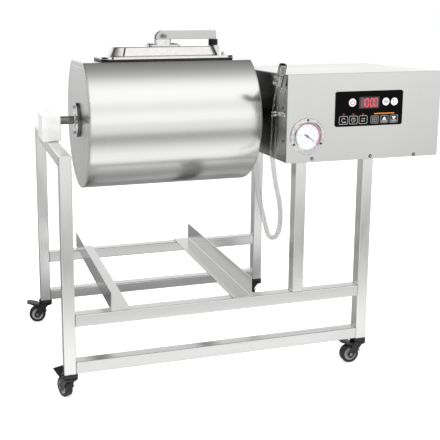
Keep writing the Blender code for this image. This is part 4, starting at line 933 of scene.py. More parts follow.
class TUMBLER_OT_lid(bpy.types.Operator):
    """Drawn lid with its rolled rim and raised pan, its gasket and the vacuum nipple"""

    bl_idname = "tumbler.lid"
    bl_label = "Lid and gasket"
    bl_options = {"REGISTER", "UNDO"}

    def execute(self, context):
        steel = context.scene.tumbler_steel
        top = LID_HIGH.z - LID_MIDDLE.z
        lip = LID_LOW.z - LID_MIDDLE.z
        sheet = LID_SHEET
        rim = lip + 6.5
        rings = [
            lid_ring(18.5, 7, top - sheet, True), lid_ring(11.5, 4, top - sheet - 3.5, True),
            lid_ring(2.5, 2.5, rim - sheet, True), lid_ring(2.5, 2.5, rim - sheet),
            lid_ring(2.5, 2.5, lip + 1),
            lid_ring(0.4, 0.4, lip + 1), lid_ring(0, 0, lip + 1.5), lid_ring(0, 0, rim - 1.5),
            lid_ring(0.5, 0.5, rim - 0.5), lid_ring(1.5, 1.5, rim),
            lid_ring(-3.0, -2, rim, True), lid_ring(-1.0, -1, rim + 0.6, True),
            lid_ring(0.4, 0.2, rim + 2.4, True),
            lid_ring(6.6, 3, top - 4.4, True), lid_ring(7.0, 3.2, top - 2.8, True),
            lid_ring(8.0, 4, top - 1.3, True), lid_ring(9.6, 5.4, top - 0.3, True),
            lid_ring(11.4, 7, top, True), lid_ring(20, 10, top, True),
        ]
        shelf = skin([[(LID_MIDDLE.x + x, AXIS.y + y, LID_MIDDLE.z + z) for x, z in (
            (110.75, top - sheet), (121.5, top - sheet), (121.5, rim - 0.6), (133, rim - 0.6),
            (133, top - 0.9), (132.1, top), (110.75, top))] for y in (-9, 9)])
        bmesh.ops.bevel(shelf, geom=shelf.edges[:], offset=0.8, segments=2, affect="EDGES")
        piece("lid_drawn_pan", together(skin(rings), shelf), polished_steel(steel, "lid", 0.9, 0.5, 0.93),
              "lid", stands_for=["lid"])

        low, high = span("lid_gasket")
        foot = low.z - LID_MIDDLE.z
        depth = lip + 0.9 - foot
        seal = [
            lid_ring(1.2, 1.2, foot), lid_ring(0.5, 0.5, foot + 0.8), lid_ring(0.5, 0.5, foot + depth - 0.8),
            lid_ring(1.2, 1.2, foot + depth), lid_ring(17.4, 15, foot + depth),
            lid_ring(18, 15, foot + depth - 0.7), lid_ring(18, 15, foot + 0.7), lid_ring(17.4, 15, foot),
        ]
        piece("lid_gasket_moulded", skin(seal, closed=True),
              black_rubber(context.scene.tumbler_plastics, "nitrile_gasket", 0.4), "lid",
              stands_for=["lid_gasket"])

        low, high = span("vacuum_nipple")
        x = (low.x + high.x) / 2
        profile = [(0, 3.6), (4.5, 3.6), (4.5, 5), (3.6, 5.4), (2.7, 6), (2.7, 7), (3.6, 7.6), (3.6, 8.5),
                   (3.0, 9), (1.3, 9), (1.3, 5.5), (0, 5.5)]
        piece("vacuum_nipple_turned", turned(profile, 48, shift(x, AXIS.y, low.z)),
              polished_steel(steel, "nipple"), "lid", stands_for=["vacuum_nipple"])
        return {"FINISHED"}


def lever_outline(inset):
    """Side of the lever about its pin: a round end, a straight back and an eased corner."""
    bottom, end, length = -LEVER_BELOW_PIN, 17.0, LEVER_LENGTH
    top = bottom + LEVER_DEPTH
    turn = top - end
    start = pi + atan2(turn - bottom, end)
    radius = end - inset
    points = [(radius * cos(start + (pi / 2 - start) * i / 24),
               turn + radius * sin(start + (pi / 2 - start) * i / 24))
              for i in range(25)]
    corner = 5.0 - inset
    points += [(length - 5 + corner * sin(pi / 2 * i / 8), top - 5 + corner * cos(pi / 2 * i / 8))
               for i in range(9)]
    points += [(length - inset, bottom)]
    return points


class TUMBLER_OT_lever(bpy.types.Operator):
    """Clamp lever with its bracket, pin, ribbed buffer and relief valve"""

    bl_idname = "tumbler.lever"
    bl_label = "Clamp lever"
    bl_options = {"REGISTER", "UNDO"}

    def execute(self, context):
        steel = context.scene.tumbler_steel
        polish = polished_steel(steel, "bracket", 0.85)
        low, high = span("lever_base")
        x, foot = (low.x + high.x) / 2, low.z
        plate_top = foot + 3
        pivot = plate_top + 19
        plate = slab(rounded(74, 44, 8, 8), foot, plate_top, shift(x, AXIS.y, 0), 0.8, 3)
        lug = slab(rounded(39, 13, 5.8, 8), plate_top - 0.5, plate_top + 11.5, shift(x, AXIS.y, 0), 1.0, 3)
        neck = block((x - 8, AXIS.y - 6.3, plate_top + 11), (x + 8, AXIS.y + 6.3, pivot), 0.6, 2)
        knuckle = turned([(0, -6.5), (7.4, -6.5), (8, -5.9), (8, 5.9), (7.4, 6.5), (0, 6.5)], 48,
                         shift(x, AXIS.y, pivot, ALONG_Y))
        stem = [(0, 0), (STEM_HOLE, 0), (STEM_HOLE, 60), (0, 60)]
        bored = [carved(solid, [turned(stem, 24, shift(x, AXIS.y, foot - 10))]) for solid in (plate, lug)]
        body = together(*bored, neck, knuckle)
        piece("lever_bracket", body, polish, "lid", stands_for=["lever_base"])
        reach = (high.y - low.y) / 2
        pin = turned([(0, -reach), (2.6, -reach), (3.0, -reach + 0.4), (3.0, reach - 0.4), (2.6, reach),
                      (0, reach)],
                     32, shift(x, AXIS.y, pivot, ALONG_Y))
        rings = copies(turned([(3.0, 0), (4.8, 0), (4.8, 0.8), (3.0, 0.8)], 32),
                       [shift(x, AXIS.y - reach + 1.4, pivot, TOWARDS_FRONT),
                        shift(x, AXIS.y + reach - 1.4, pivot, ALONG_Y)])
        piece("lever_pin", together(pin, rings), zinc_plate("lever_pin", "#9A9B9C"), "lid")
        places = [shift(x + dx, AXIS.y + dy, plate_top) for dx in (-28, 28) for dy in (-14, 14)]
        piece("lever_bracket_screws", copies(screw_head(4.2, 2.6), places),
              zinc_plate("bracket_screw", "#8D8E90"), "lid")

        low, high = span("lever_rest")
        rest_x = (low.x + high.x) / 2
        pitch = (high.z - low.z) / 3
        profile = [(0, low.z)]
        for index in range(3):
            start = low.z + index * pitch
            profile += [(9.3, start), (9.5, start + 0.3), (11.1, start + pitch * 0.2),
                        (11.5, start + pitch * 0.32),
                        (11.5, start + pitch * 0.62), (11.1, start + pitch * 0.76),
                        (9.5, start + pitch * 0.95)]
        profile += [(8.6, high.z), (0, high.z)]
        piece("lever_buffer", turned(profile, 56, shift(rest_x, AXIS.y, 0)),
              black_rubber(context.scene.tumbler_plastics, "ribbed_buffer_rubber", 0.24), "lid",
              stands_for=["lever_rest"])

        half = CHANNEL_HALF + LEVER_SHEET
        end, roof = LEVER_LENGTH - LEVER_SHEET, LEVER_DEPTH - LEVER_BELOW_PIN - LEVER_SHEET
        outer = slab(lever_outline(0), -half, half, UPRIGHT, 0.9, 3)
        slot = slab([(-40, -30), (end, -30), (end, roof), (-40, roof)], -CHANNEL_HALF, CHANNEL_HALF)
        mouth = slab([(-40, -30), (0, -30), (0, 30), (-40, 30)], -CHANNEL_HALF, CHANNEL_HALF)
        hole = turned([(0, -20), (3.4, -20), (3.4, 20), (0, 20)], 32)
        lever = carved(outer, [slot, mouth, hole])
        piece("clamp_lever_channel", lever, lever_steel(), "lever",
              shift(x, AXIS.y, pivot, TOWARDS_FRONT), ["clamp_lever"])

        low, high = span("relief_valve")
        disc = [(0, 0), (11.5, 0), (12.6, 0.5), (13, 1.5), (13, 3), (2.5, 3), (2.5, high.z - low.z - 0.6),
                (1.9, high.z - low.z), (0, high.z - low.z)]
        piece("relief_valve_turned", turned(disc, 56, shift(x, AXIS.y, low.z)),
              polished_steel(steel, "valve"), "valve", stands_for=["relief_valve"])
        return {"FINISHED"}


# Housing


def pan_screws(places, radius=3.2, height=2.0):
    return copies(screw_head(radius, height), places)


class TUMBLER_OT_housing(bpy.types.Operator):
    """Folded cover with pressed louvres, the front sheet, the floor and their screws"""

    bl_idname = "tumbler.housing"
    bl_label = "Drive housing"
    bl_options = {"REGISTER", "UNDO"}

    def execute(self, context):
        steel = context.scene.tumbler_steel
        low, high = span("housing_cover")
        sheet = 1.5
        shell = block(low, high, 2.2, 4)
        room = block((low.x + sheet, low.y - 9, low.z - 9), (high.x - sheet, high.y - sheet, high.z - sheet),
                     1.0, 2)
        shaft = turned([(0, -9), (20, -9), (20, 9), (0, 9)], 64, shift(low.x, AXIS.y, AXIS.z, ALONG_X))
        inlet = span("power_inlet")
        ix, iz = (inlet[0].x + inlet[1].x) / 2, (inlet[0].z + inlet[1].z) / 2
        socket = block((ix - 13.8, high.y - 4, iz - 10.3), (ix + 13.8, high.y + 4, iz + 10.3))
        middle = (low.x + high.x) / 2
        slots, hoods = [], []
        for index in range(6):
            z = low.z + 0.3 * (high.z - low.z) + index * 12
            slots.append(block((middle - 90, high.y - 4, z), (middle, high.y + 4, z + 3.4)))
            hoods.append(louvre_hood(middle - 92, middle + 2, high.y - 0.3, z + 3.4))
        cover = carved(shell, [room, shaft, socket] + slots)
        # Painted shade: the cover's left wall keeps 0.4 of the sheet's tone
        upright = sheet_steel(steel, "housing_cover", "z", 0.98, 0.4)
        piece("housing_folded_cover", cover, upright, "frame", stands_for=["housing_cover"])
        piece("housing_louvre_hoods", together(*hoods), upright, "frame")

        low, high = span("housing_front")
        face = block((low.x, low.y, low.z), (high.x, low.y + sheet, high.z), 0.7, 3)
        gauge = turned([(0, -9), (31.3, -9), (31.3, 9), (0, 9)], 64, shift(GAUGE.x, low.y, GAUGE.z, ALONG_Y))
        panel = span("control_panel")
        window = block((panel[0].x + 8.7, low.y - 9, panel[0].z + 8.7),
                       (panel[1].x - 8.7, low.y + 9, panel[1].z - 8.7))
        returns = block((low.x + 1.8, low.y + 0.8, low.z + 2.3), (high.x - 1.8, high.y, high.z - 1.8))
        inside = block((low.x + 3.3, low.y + sheet, low.z + 3.8), (high.x - 3.3, high.y + 40, high.z - 3.3))
        shape = together(carved(face, [gauge, window]), carved(returns, [inside, block(
            (low.x - 9, low.y - 9, low.z - 9), (high.x + 9, low.y + sheet - 0.01, high.z + 9))]))
        piece("housing_front_sheet", shape, sheet_steel(steel, "housing_front", "z"), "frame",
              stands_for=["housing_front"])
        finish_node("housing_floor", sheet_steel(steel, "housing_floor", "x"))

        front = low.y
        spots = ((534.4, 483.1), (672.3, 481.6), (779.8, 479.9))
        washer = turned([(0, 0), (3.8, 0), (3.8, 0.5), (3.4, 0.9), (0, 0.9)], 40)
        piece("housing_front_washers", copies(washer, [shift(x, front, z, TOWARDS_FRONT) for x, z in spots]),
              moulded_nylon(context.scene.tumbler_plastics, "washer_black_nylon"), "frame")
        piece("housing_front_screws", pan_screws([shift(x, front - 0.9, z, TOWARDS_FRONT) for x, z in spots],
                                                 2.2, 1.4),
              zinc_plate("front_screw", "#DADBDC"), "frame")
        heads = []
        left = Matrix.Rotation(-pi / 2, 4, "Y")
        heads += [shift(low.x, y, z, left) for y, z in ((11, 589.1), (-2.1 + 6, 521.7))]
        heads += [shift(low.x, 285, z, left) for z in (500, 636)]
        heads += [shift(high.x - 2, y, z, ALONG_X) for y in (8, 285) for z in (500, 636)]
        back = span("housing_cover")[1].y
        heads += [shift(x, back, z, ALONG_Y) for x in (low.x + 14, high.x - 14)
                  for z in (low.z + 12, high.z - 12)]
        heads += [shift(middle, back, low.z + 12, ALONG_Y)]
        piece("housing_screws", pan_screws(heads), zinc_plate("housing_screw", "#8A8B8D"), "frame")
        return {"FINISHED"}


def louvre_hood(x0, x1, y, z):
    """Pressed hood over a slot: a quarter-round shell open below, closed at both ends."""
    depth, drop, steps = 4.2, 6.0, 6
    rings = []
    for x, share in ((x0, 0.05), (x0 + 3.5, 0.85), (x0 + 6, 1.0), (x1 - 6, 1.0), (x1 - 3.5, 0.85),
                     (x1, 0.05)):
        points = [(x, y + depth * share * sin(a), z + drop * 0.55 * cos(a)) for a in
                  [pi / 2 * i / steps for i in range(steps + 1)]]
        points += [(x, y + depth * share, z - drop * 0.45), (x, y + depth * share - 0.8, z - drop * 0.45)]
        points += [(x, y + (depth * share - 0.8) * sin(a), z + (drop * 0.55 - 0.8) * cos(a)) for a in
                   [pi / 2 * i / steps for i in range(steps, -1, -1)]]
        rings.append(points)
    return skin(rings)


# Panel


def stroke(points, width, front, closed=False):
    """Flat line of this width through points in X, Z, standing on the film."""
    points = [Vector((x, z)) for x, z in points]
    count = len(points)
    bm = bmesh.new()
    rows = []
    for i, point in enumerate(points):
        before = points[i - 1] if i or closed else point
        after = points[(i + 1) % count] if i < count - 1 or closed else point
        one = (point - before).normalized() if (point - before).length else None
        two = (after - point).normalized() if (after - point).length else None
        ahead = ((one or two) + (two or one)).normalized()
        normal = Vector((-ahead.y, ahead.x))
        stretch = 1 / max(0.5, abs(normal.dot(Vector((-(one or two).y, (one or two).x)))))
        rows.append([bm.verts.new((p.x, front, p.y)) for p in
                     (point + normal * width / 2 * stretch, point - normal * width / 2 * stretch)])
    pairs = list(zip(rows, rows[1:])) + ([(rows[-1], rows[0])] if closed else [])
    for (a, b), (c, d) in pairs:
        bm.faces.new((a, b, d, c))
    return bm


def patch(outline, front):
    """Filled flat outline in X, Z, standing on the film."""
    bm = bmesh.new()
    bm.faces.new([bm.verts.new((x, front, z)) for x, z in outline])
    return bm


def disc(x, z, radius, front, steps=40):
    """Filled flat circle in X, Z, standing on the film."""
    return patch([(x + radius * cos(2 * pi * i / steps), z + radius * sin(2 * pi * i / steps))
                  for i in range(steps)], front)


def bow(x, z, radius, start, end, steps=24):
    """Points of an arc, from and to angles in degrees."""
    return [(x + radius * cos(radians(start + (end - start) * i / steps)),
             z + radius * sin(radians(start + (end - start) * i / steps))) for i in range(steps + 1)]


SEGMENTS = {
    "0": "abcdef", "1": "bc", "2": "abged", "3": "abgcd", "4": "fgbc", "5": "afgcd",
    "6": "afgedc", "7": "abc", "8": "abcdefg", "9": "abcdfg",
}


def digit(text, x, z, width, height, thick, lean, front):
    """Seven-segment figure with its lower left corner at x, z."""
    half = height / 2
    lines = {
        "a": ((0, height), (width, height)), "b": ((width, height), (width, half)),
        "c": ((width, half), (width, 0)), "d": ((0, 0), (width, 0)), "e": ((0, 0), (0, half)),
        "f": ((0, half), (0, height)), "g": ((0, half), (width, half)),
    }
    shapes = []
    for key in SEGMENTS[text]:
        (x0, z0), (x1, z1) = lines[key]
        start, end = Vector((x0, z0)), Vector((x1, z1))
        ahead = (end - start).normalized()
        start, end = start + ahead * thick * 0.3, end - ahead * thick * 0.3
        points = [(x + p.x + lean * p.y, z + p.y) for p in (start, end)]
        shapes.append(stroke(points, thick, front))
    return together(*shapes)


# Heights of the two rows of keys and the display's middle, read off the photograph
MODE_ROW = 562.3
SET_ROW = 561.5
DISPLAY = Vector((664.0, 0, 598.4))
# How far prints stand before the film, so that each shows over the one below
PRINT = 0.06
CELL = 0.19
FIGURE = 0.24
DOME_PRINT = 0.4


class TUMBLER_OT_panel(bpy.types.Operator):
    """Keypad film on its plate, with the display, keys, lamps and prints"""

    bl_idname = "tumbler.panel"
    bl_label = "Control panel"
    bl_options = {"REGISTER", "UNDO"}

    def execute(self, context):
        panel = context.scene.tumbler_panel
        low, high = span("control_panel")
        middle = ((low.x + high.x) / 2, (low.z + high.z) / 2)
        front = low.y
        length, height = high.x - low.x, high.z - low.z
        film = keypad_film(panel)
        plate = slab(rounded(length, height, 5, 10), 0, 1.6, edge=0.4, segments=3)
        casing = slab(rounded(length - 18, height - 18, 2.5, 4), -28, 0.8)
        piece("keypad_plate", together(plate, casing), film, "frame",
              shift(middle[0], front + 1.6, middle[1], TOWARDS_FRONT), ["control_panel"])

        white, grey = print_ink("white", panel.white), print_ink("grey", panel.grey)
        orange = print_ink("orange", panel.orange)
        red, dark = print_ink("red", linear("#C0222C")), print_ink("charcoal", linear("#3A3A3C"))
        lit = lit_segment(panel)
        ink, over = front - PRINT, front - 2 * PRINT

        # Round keys stand proud by the thickness of their embossed domes
        for name, x, z, radius in (("power", 624.0, 599.7, 8.5), ("start", 703.8, 599.2, 8.3),
                                   ("reset", 724.2, 598.7, 8.3)):
            dome = turned([(0, 0), (radius, 0), (radius, 0.06), (radius - 0.7, 0.2), (radius * 0.5, 0.3),
                           (0, 0.32)],
                          48, shift(x, front, z, TOWARDS_FRONT))
            piece(f"{name}_key_dome", dome, white, "frame")
        over_dome = front - DOME_PRINT
        piece("power_sign", together(stroke(bow(624.0, 599.2, 4.4, 125, 415), 1.6, over_dome),
                                     stroke([(624.0, 600.4), (624.0, 605.4)], 1.6, over_dome)),
              red, "frame")
        start = together(
            stroke([(700.2, 596), (700.2, 602.4), (704.0, 599.2)], 0.9, over_dome, True),
            stroke([(705.6, 596.2), (705.6, 602.2)], 1.1, over_dome),
            stroke([(708.0, 596.2), (708.0, 602.2)], 1.1, over_dome))
        turn_back = together(stroke(bow(724.2, 598.7, 3.6, 150, 440), 0.9, over_dome),
                             patch([(722.6, 600.6), (722.9, 604.4), (719.0, 603.2)], over_dome))
        piece("start_and_reset_signs", together(start, turn_back), dark, "frame")

        place = shift(DISPLAY.x, front, DISPLAY.z, TOWARDS_FRONT)
        window = slab(rounded(48, 25, 1.5, 4), 0, 0.15, place, 0.05, 1)
        piece("display_window", window, display_filter(), "frame")
        cells, figures = [], []
        x = 644.8
        for number, text in enumerate("1000"):
            cells.append(patch([(x + 3.4 + p, 598.3 + q) for p, q in rounded(9.0, 20.6, 1.2, 3)],
                               front - CELL))
            figures.append(digit(text, x, 590.2, 6.8, 16.2, 1.5, 0.04, front - FIGURE))
            x += 11.6 if number == 1 else 9.9
        figures += [disc(664.6, z, 0.9, front - FIGURE, 16) for z in (594.8, 601.8)]
        piece("display_cells", together(*cells), print_ink("cell_grey", linear("#5E4A4D"), 0.3), "frame")
        piece("display_figures", together(*figures), lit, "frame")

        lamps = [patch([(x - 2.2, z - 1.9), (x + 2.2, z - 1.9), (x + 2.2, z + 1.9), (x - 2.2, z + 1.9)], ink)
                 for x, z in ((604, 575), (627.1, 574.4), (650, 573.7))]
        piece("mode_lamps", together(*lamps), print_ink("dim_red", linear("#7E2A2E")), "frame")

        outlines, signs = [], []
        for x0, x1 in ((593.7, 614.4), (617.2, 637.5), (640.5, 660.7)):
            cx, cz = (x0 + x1) / 2, MODE_ROW
            outlines.append(stroke([(cx + p, cz + q) for p, q in rounded(x1 - x0 - 1, 16.8, 2.2, 5)], 1.0,
                                   ink, True))
            signs.append(cx)
        piece("mode_key_outlines", together(*outlines), print_ink("pale_grey", linear("#A9A9A9")), "frame")
        z = MODE_ROW
        turning = together(stroke(bow(signs[0], z, 4.2, 20, 300), 1.1, ink),
                           patch([(signs[0] + 1.6, z - 4.8), (signs[0] + 4.6, z - 1.8),
                                  (signs[0] + 5.2, z - 6)], ink))
        clock = together(stroke(bow(signs[1], z, 4.6, 0, 345), 1.0, ink, True),
                         stroke([(signs[1], z + 3), (signs[1], z), (signs[1] + 2.4, z - 1)], 0.9, ink))
        swap = together(stroke([(signs[2] - 4.5, z + 2), (signs[2] + 2.5, z + 2)], 1.0, ink),
                        patch([(signs[2] + 2, z + 4), (signs[2] + 5, z + 2), (signs[2] + 2, z)], ink),
                        stroke([(signs[2] + 4.5, z - 3), (signs[2] - 2.5, z - 3)], 1.0, ink),
                        patch([(signs[2] - 2, z - 1), (signs[2] - 5, z - 3), (signs[2] - 2, z - 5)], ink))
        piece("mode_key_signs", together(turning, clock, swap), print_ink("silver", linear("#B9B9B8")),
              "frame")

        keys = []
        for x0, x1 in ((668.3, 688.3), (691.6, 711.7), (714.3, 735.5)):
            cx = (x0 + x1) / 2
            keys.append(patch([(cx + p, SET_ROW + q) for p, q in rounded(x1 - x0, 17.6, 2.0, 5)], ink))
        piece("set_keys", together(*keys), print_ink("key_grey", linear("#242426")), "frame")
        borders = [stroke([(cx + p, SET_ROW + q) for p, q in rounded(18.4, 16.0, 1.8, 5)], 0.9, over, True)
                   for cx in (678.3, 701.65, 724.9)]
        grid = [stroke([(673.3 + 5 * i, 556.8), (673.3 + 5 * i, 566.2)], 1.1, over) for i in range(3)]
        grid += [stroke([(673.3, 556.8 + 4.7 * i), (683.3, 556.8 + 4.7 * i)], 1.1, over) for i in range(3)]
        piece("set_key_borders", together(*borders, *grid), grey, "frame")
        arrows = [
            patch([(696.8, 560.4), (706.4, 560.4), (701.6, 567.2)], over),
            patch([(720.1, 566.4), (724.9, 559.6), (729.7, 566.4)], over),
        ]
        feet = [patch([(cx - 7, z0), (cx + 7, z0), (cx + 7, z0 + 4.4), (cx - 7, z0 + 4.4)], over)
                for cx, z0 in ((701.6, 555.2), (724.9, 555.2))]
        piece("set_key_feet", together(*feet), grey, "frame")
        piece("set_key_arrows", together(*arrows), white, "frame")
        line = [(676.3, 573.0), (725.2, 573.0), (725.2, 575.2), (676.3, 575.2)]
        piece("orange_line", patch(line, ink), orange, "frame")
        return {"FINISHED"}


def display_filter():
    """Smoked acrylic over the display: dark grey-red and glossy."""
    tone = linear("#3A2A2C")
    mat, tree, shader = surface("smoked_display_acrylic", tone, 0.2, IOR=1.49)
    cells = marks(tree, (3, 3, 3), 3.0)
    tint(tree, shader, cells, tone, 0.75, 1.2)
    blur(tree, shader, cells, 0.08, 0.2)
    return mat


# Gauge


GAUGE_ROOM = 29.3
TICKS_END = 25.4
FIGURES_AT = 16.4
BANDS_AT = 27.4
BAND_WIDTH = 2.6


class TUMBLER_OT_gauge(bpy.types.Operator):
    """Panel-mounted vacuum gauge: case, flange screws, dial with scale, needle and window"""

    bl_idname = "tumbler.gauge"
    bl_label = "Vacuum gauge"
    bl_options = {"REGISTER", "UNDO"}

    def execute(self, context):
        steel = context.scene.tumbler_steel
        low, high = span("gauge_case")
        glass, dial, needle = span("gauge_glass"), span("gauge_dial"), span("gauge_needle")
        bezel, back = low.y, high.y
        flange = bezel + 3.0
        face = flange + 2.0
        lip = bezel + 1.0
        cup = dial[1].y + 0.3
        room = GAUGE_ROOM
        profile = [
            (0, back), (28, back), (31, back - 3), (31, face), (38.7, face), (39, face - 0.4),
            (39, flange + 0.7),
            (38.3, flange), (33.4, flange), (32.4, flange - 0.3), (31, flange - 1.4), (30.4, bezel + 0.5),
            (30.1, bezel), (29.8, bezel), (29.5, bezel + 0.3), (room, lip), (room, cup), (0, cup),
        ]
        piece("gauge_spun_case", turned(profile, 96, shift(GAUGE.x, 0, GAUGE.z, ALONG_Y)),
              polished_steel(steel, "gauge_case", 0.72), "frame", stands_for=["gauge_case"])
        spots = ((521.8, 566.3), (490.6, 515.4), (552.9, 515.4))
        heads = [shift(x, flange, z, TOWARDS_FRONT) for x, z in spots]
        piece("gauge_flange_screws", pan_screws(heads, 2.3, 1.4), zinc_plate("gauge_screw", "#3C3D3F"),
              "frame")

        radius = (glass[1].x - glass[0].x) / 2
        thick = glass[1].y - glass[0].y
        pane = turned([(0, 0), (radius - 0.3, 0), (radius, 0.3), (radius, thick - 0.3),
                       (radius - 0.3, thick), (0, thick)],
                      72, shift(GAUGE.x, glass[0].y, GAUGE.z, ALONG_Y))
        piece("gauge_window", pane, clear_glass("gauge_float_glass", "#F4F8FF", 0.03, 1.45), "frame",
              stands_for=["gauge_glass"])

        card = turned([(0, 0), (radius - 0.1, 0), (radius, 0.1), (radius, 1.0), (0, 1.0)], 72,
                      shift(GAUGE.x, dial[0].y, GAUGE.z, ALONG_Y))
        piece("gauge_dial_card", card, dial_enamel(), "frame", stands_for=["gauge_dial"])
        rim = room - 0.1
        margin = turned([(radius - 0.5, 0.02), (rim - 0.1, 0.02), (rim, 0.12), (rim, 1.0),
                         (radius - 0.5, 1.0)], 72,
                        shift(GAUGE.x, dial[0].y, GAUGE.z, ALONG_Y))
        piece("gauge_dial_margin", margin, dial_enamel(), "frame")
        ink = dial[0].y - 0.05
        x, z = GAUGE.x, GAUGE.z
        ticks = []
        for index in range(51):
            angle = 225 - index * 5.4
            long = 4.2 if index % 10 == 0 else (3.0 if index % 5 == 0 else 1.8)
            wide = 0.7 if index % 10 == 0 else 0.35
            near, far = TICKS_END - long, TICKS_END
            ticks.append(stroke([(x + r * cos(radians(angle)), z + r * sin(radians(angle)))
                                 for r in (near, far)],
                                wide, ink))
        for index in range(6):
            angle = radians(225 - index * 54)
            cx, cz = x + FIGURES_AT * cos(angle), z + FIGURES_AT * sin(angle)
            ticks.append(digit(str(index * 2 % 10), cx - 1.1, cz - 1.7, 2.2, 3.4, 0.55, 0.0, ink))
        ticks.append(stroke([(x - 3.5, z - 14.2), (x + 3.5, z - 14.2)], 0.5, ink))
        ticks.append(stroke([(x - 2.2, z - 16.0), (x + 2.2, z - 16.0)], 0.5, ink))
        black = print_ink("dial_black", linear("#1C1C20"))
        piece("gauge_scale", together(*ticks), black, "frame")
        piece("gauge_red_band", stroke(bow(x, z, BANDS_AT, 150, -42, 60), BAND_WIDTH, ink),
              print_ink("dial_red", linear("#C0728C")), "frame")
        piece("gauge_green_band", stroke(bow(x, z, BANDS_AT, 222, 152, 30), BAND_WIDTH, ink),
              print_ink("dial_green", linear("#5C9E7C")), "frame")

        angle = radians(-34)
        outline = [(-8, -2.0), (-5, -1.6), (0, -1.3), (16, -0.6), (22, -0.15), (22, 0.15), (16, 0.6),
                   (0, 1.3), (-5, 1.6), (-8, 2.0)]
        turn = Matrix.Rotation(angle, 4, "Z")
        pointer = slab(outline, 0, 0.45, turn, 0.1, 1)
        pin = shift(x, needle[1].y, z, TOWARDS_FRONT)
        cap = turned([(0, 0), (3.2, 0), (3.2, 0.35), (2.7, 0.58), (0, 0.6)], 32)
        piece("gauge_pointer", together(pointer, cap), moulded_nylon(
            context.scene.tumbler_plastics, "pointer_black_lacquer", linear("#16161A"), 0.3), "needle",
            pin, ["gauge_needle"])
        return {"FINISHED"}


def dial_enamel():
    """Stove-enamelled dial plate: clean cool white, very slightly uneven."""
    tone = linear("#F0F3F8")
    mat, tree, shader = surface("stove_enamelled_dial", tone, 0.4)
    lay = marks(tree, (7, 7, 7), 3.0)
    tint(tree, shader, lay, tone, 0.95)
    blur(tree, shader, lay, 0.34, 0.5)
    return mat


# Machinery


class TUMBLER_OT_machinery(bpy.types.Operator):
    """Gear motor, vacuum pump and mains inlet"""

    bl_idname = "tumbler.machinery"
    bl_label = "Motor, pump and inlet"
    bl_options = {"REGISTER", "UNDO"}

    def execute(self, context):
        cast = cast_aluminium()
        finish_node("gear_motor", cast)
        finish_node("vacuum_pump", cast)
        low, high = span("power_inlet")
        x, z = (low.x + high.x) / 2, (low.z + high.z) / 2
        flange = high.y - 3
        plate = slab(rounded(50, 25, 3, 6), 0, 3, edge=0.5, segments=2)
        body = block((-13.5, -10, -24), (13.5, 10, 1.5), 0.5, 2)
        mouth = slab([(-11.5, -8), (11.5, -8), (11.5, 4.2), (7.8, 8), (-7.8, 8), (-11.5, 4.2)], -14, 9)
        turn = shift(x, flange, z, ALONG_Y) @ Matrix.Rotation(pi, 4, "Z")
        shape = carved(together(plate), [mouth])
        mouth_again = slab([(-11.5, -8), (11.5, -8), (11.5, 4.2), (7.8, 8), (-7.8, 8), (-11.5, 4.2)], -14, 9)
        shape = together(shape, carved(body, [mouth_again]))
        piece("inlet_moulding", shape, moulded_nylon(context.scene.tumbler_plastics, "inlet_black_nylon",
                                                     gloss=0.35),
              "frame", turn, ["power_inlet"])
        spots = ((-7, -1), (0, 2), (7, -1))
        pins = [block((dx - 1, dz - 2, -16), (dx + 1, dz + 2, -3), 0.3, 1) for dx, dz in spots]
        piece("inlet_pins", together(*pins), polished_steel(context.scene.tumbler_steel, "inlet_pin"),
              "frame", turn)
        heads = [shift(dx, 0, 3) for dx in (-20, 20)]
        piece("inlet_screws", copies(screw_head(2.7, 1.6), heads), zinc_plate("inlet_screw", "#8A8B8D"),
              "frame", turn)
        return {"FINISHED"}


# Hose

# The route of the hose's centre in millimetres from the housing's lower front left corner, as in the part
HOSE_ROUTE = [
    (-11, 20.1, 161.1), (-11, 29.5, 135.5), (-11, 37.5, 101.5), (-11, 42.5, 55.5), (-10, 46.5, 6.5),
    (-7, 35.5, -47.5), (-4, 19.5, -87.5), (-2, 18.5, -126.5), (-1, 29.5, -156.5), (1, 56.5, -177),
    (3, 86.5, -180.5), (5, 109.5, -166.5), (8, 139.5, -134.5), (11, 169.5, -101.5), (14, 192.5, -62.5),
    (15, 200.5, -30.5), (15, 200.5, -14.6),
]


def hose_points(step):
    """Points of the smooth route, from the port to the coupler, in the machine's millimetres."""
    corner = Vector((HOUSE_LOW.x, HOUSE_LOW.y, HOUSE_LOW.z))
    route = [corner + Vector(point) for point in HOSE_ROUTE]
    padded = [2 * route[0] - route[1]] + route + [2 * route[-1] - route[-2]]
    found = []
    for a, b, c, d in zip(padded, padded[1:], padded[2:], padded[3:]):
        count = max(1, round((c - b).length / step))
        for index in range(count):
            t = index / count
            bend = 2 * b + (c - a) * t + (2 * a - 5 * b + 4 * c - d) * t ** 2
            found.append((bend + (3 * b - 3 * c + d - a) * t ** 3) / 2)
    return list(reversed(found + [route[-1]]))


def hollow_tube(points, outside, inside):
    """Tube with a bore that follows points, closed to a ring at both ends."""
    steps = 28
    outer, inner = tube_along(points, outside, steps, False), tube_along(points, inside, steps, False)
    outer.verts.ensure_lookup_table()
    inner.verts.ensure_lookup_table()
    rings = []
    for bm, order in ((outer, range(len(points))), (inner, reversed(range(len(points))))):
        for index in order:
            rings.append([v.co.copy() for v in bm.verts[index * steps:(index + 1) * steps]])
        bm.free()
    return skin(rings, closed=True)


HOSE_RADIUS = 6.0
HOSE_BORE = 4.2


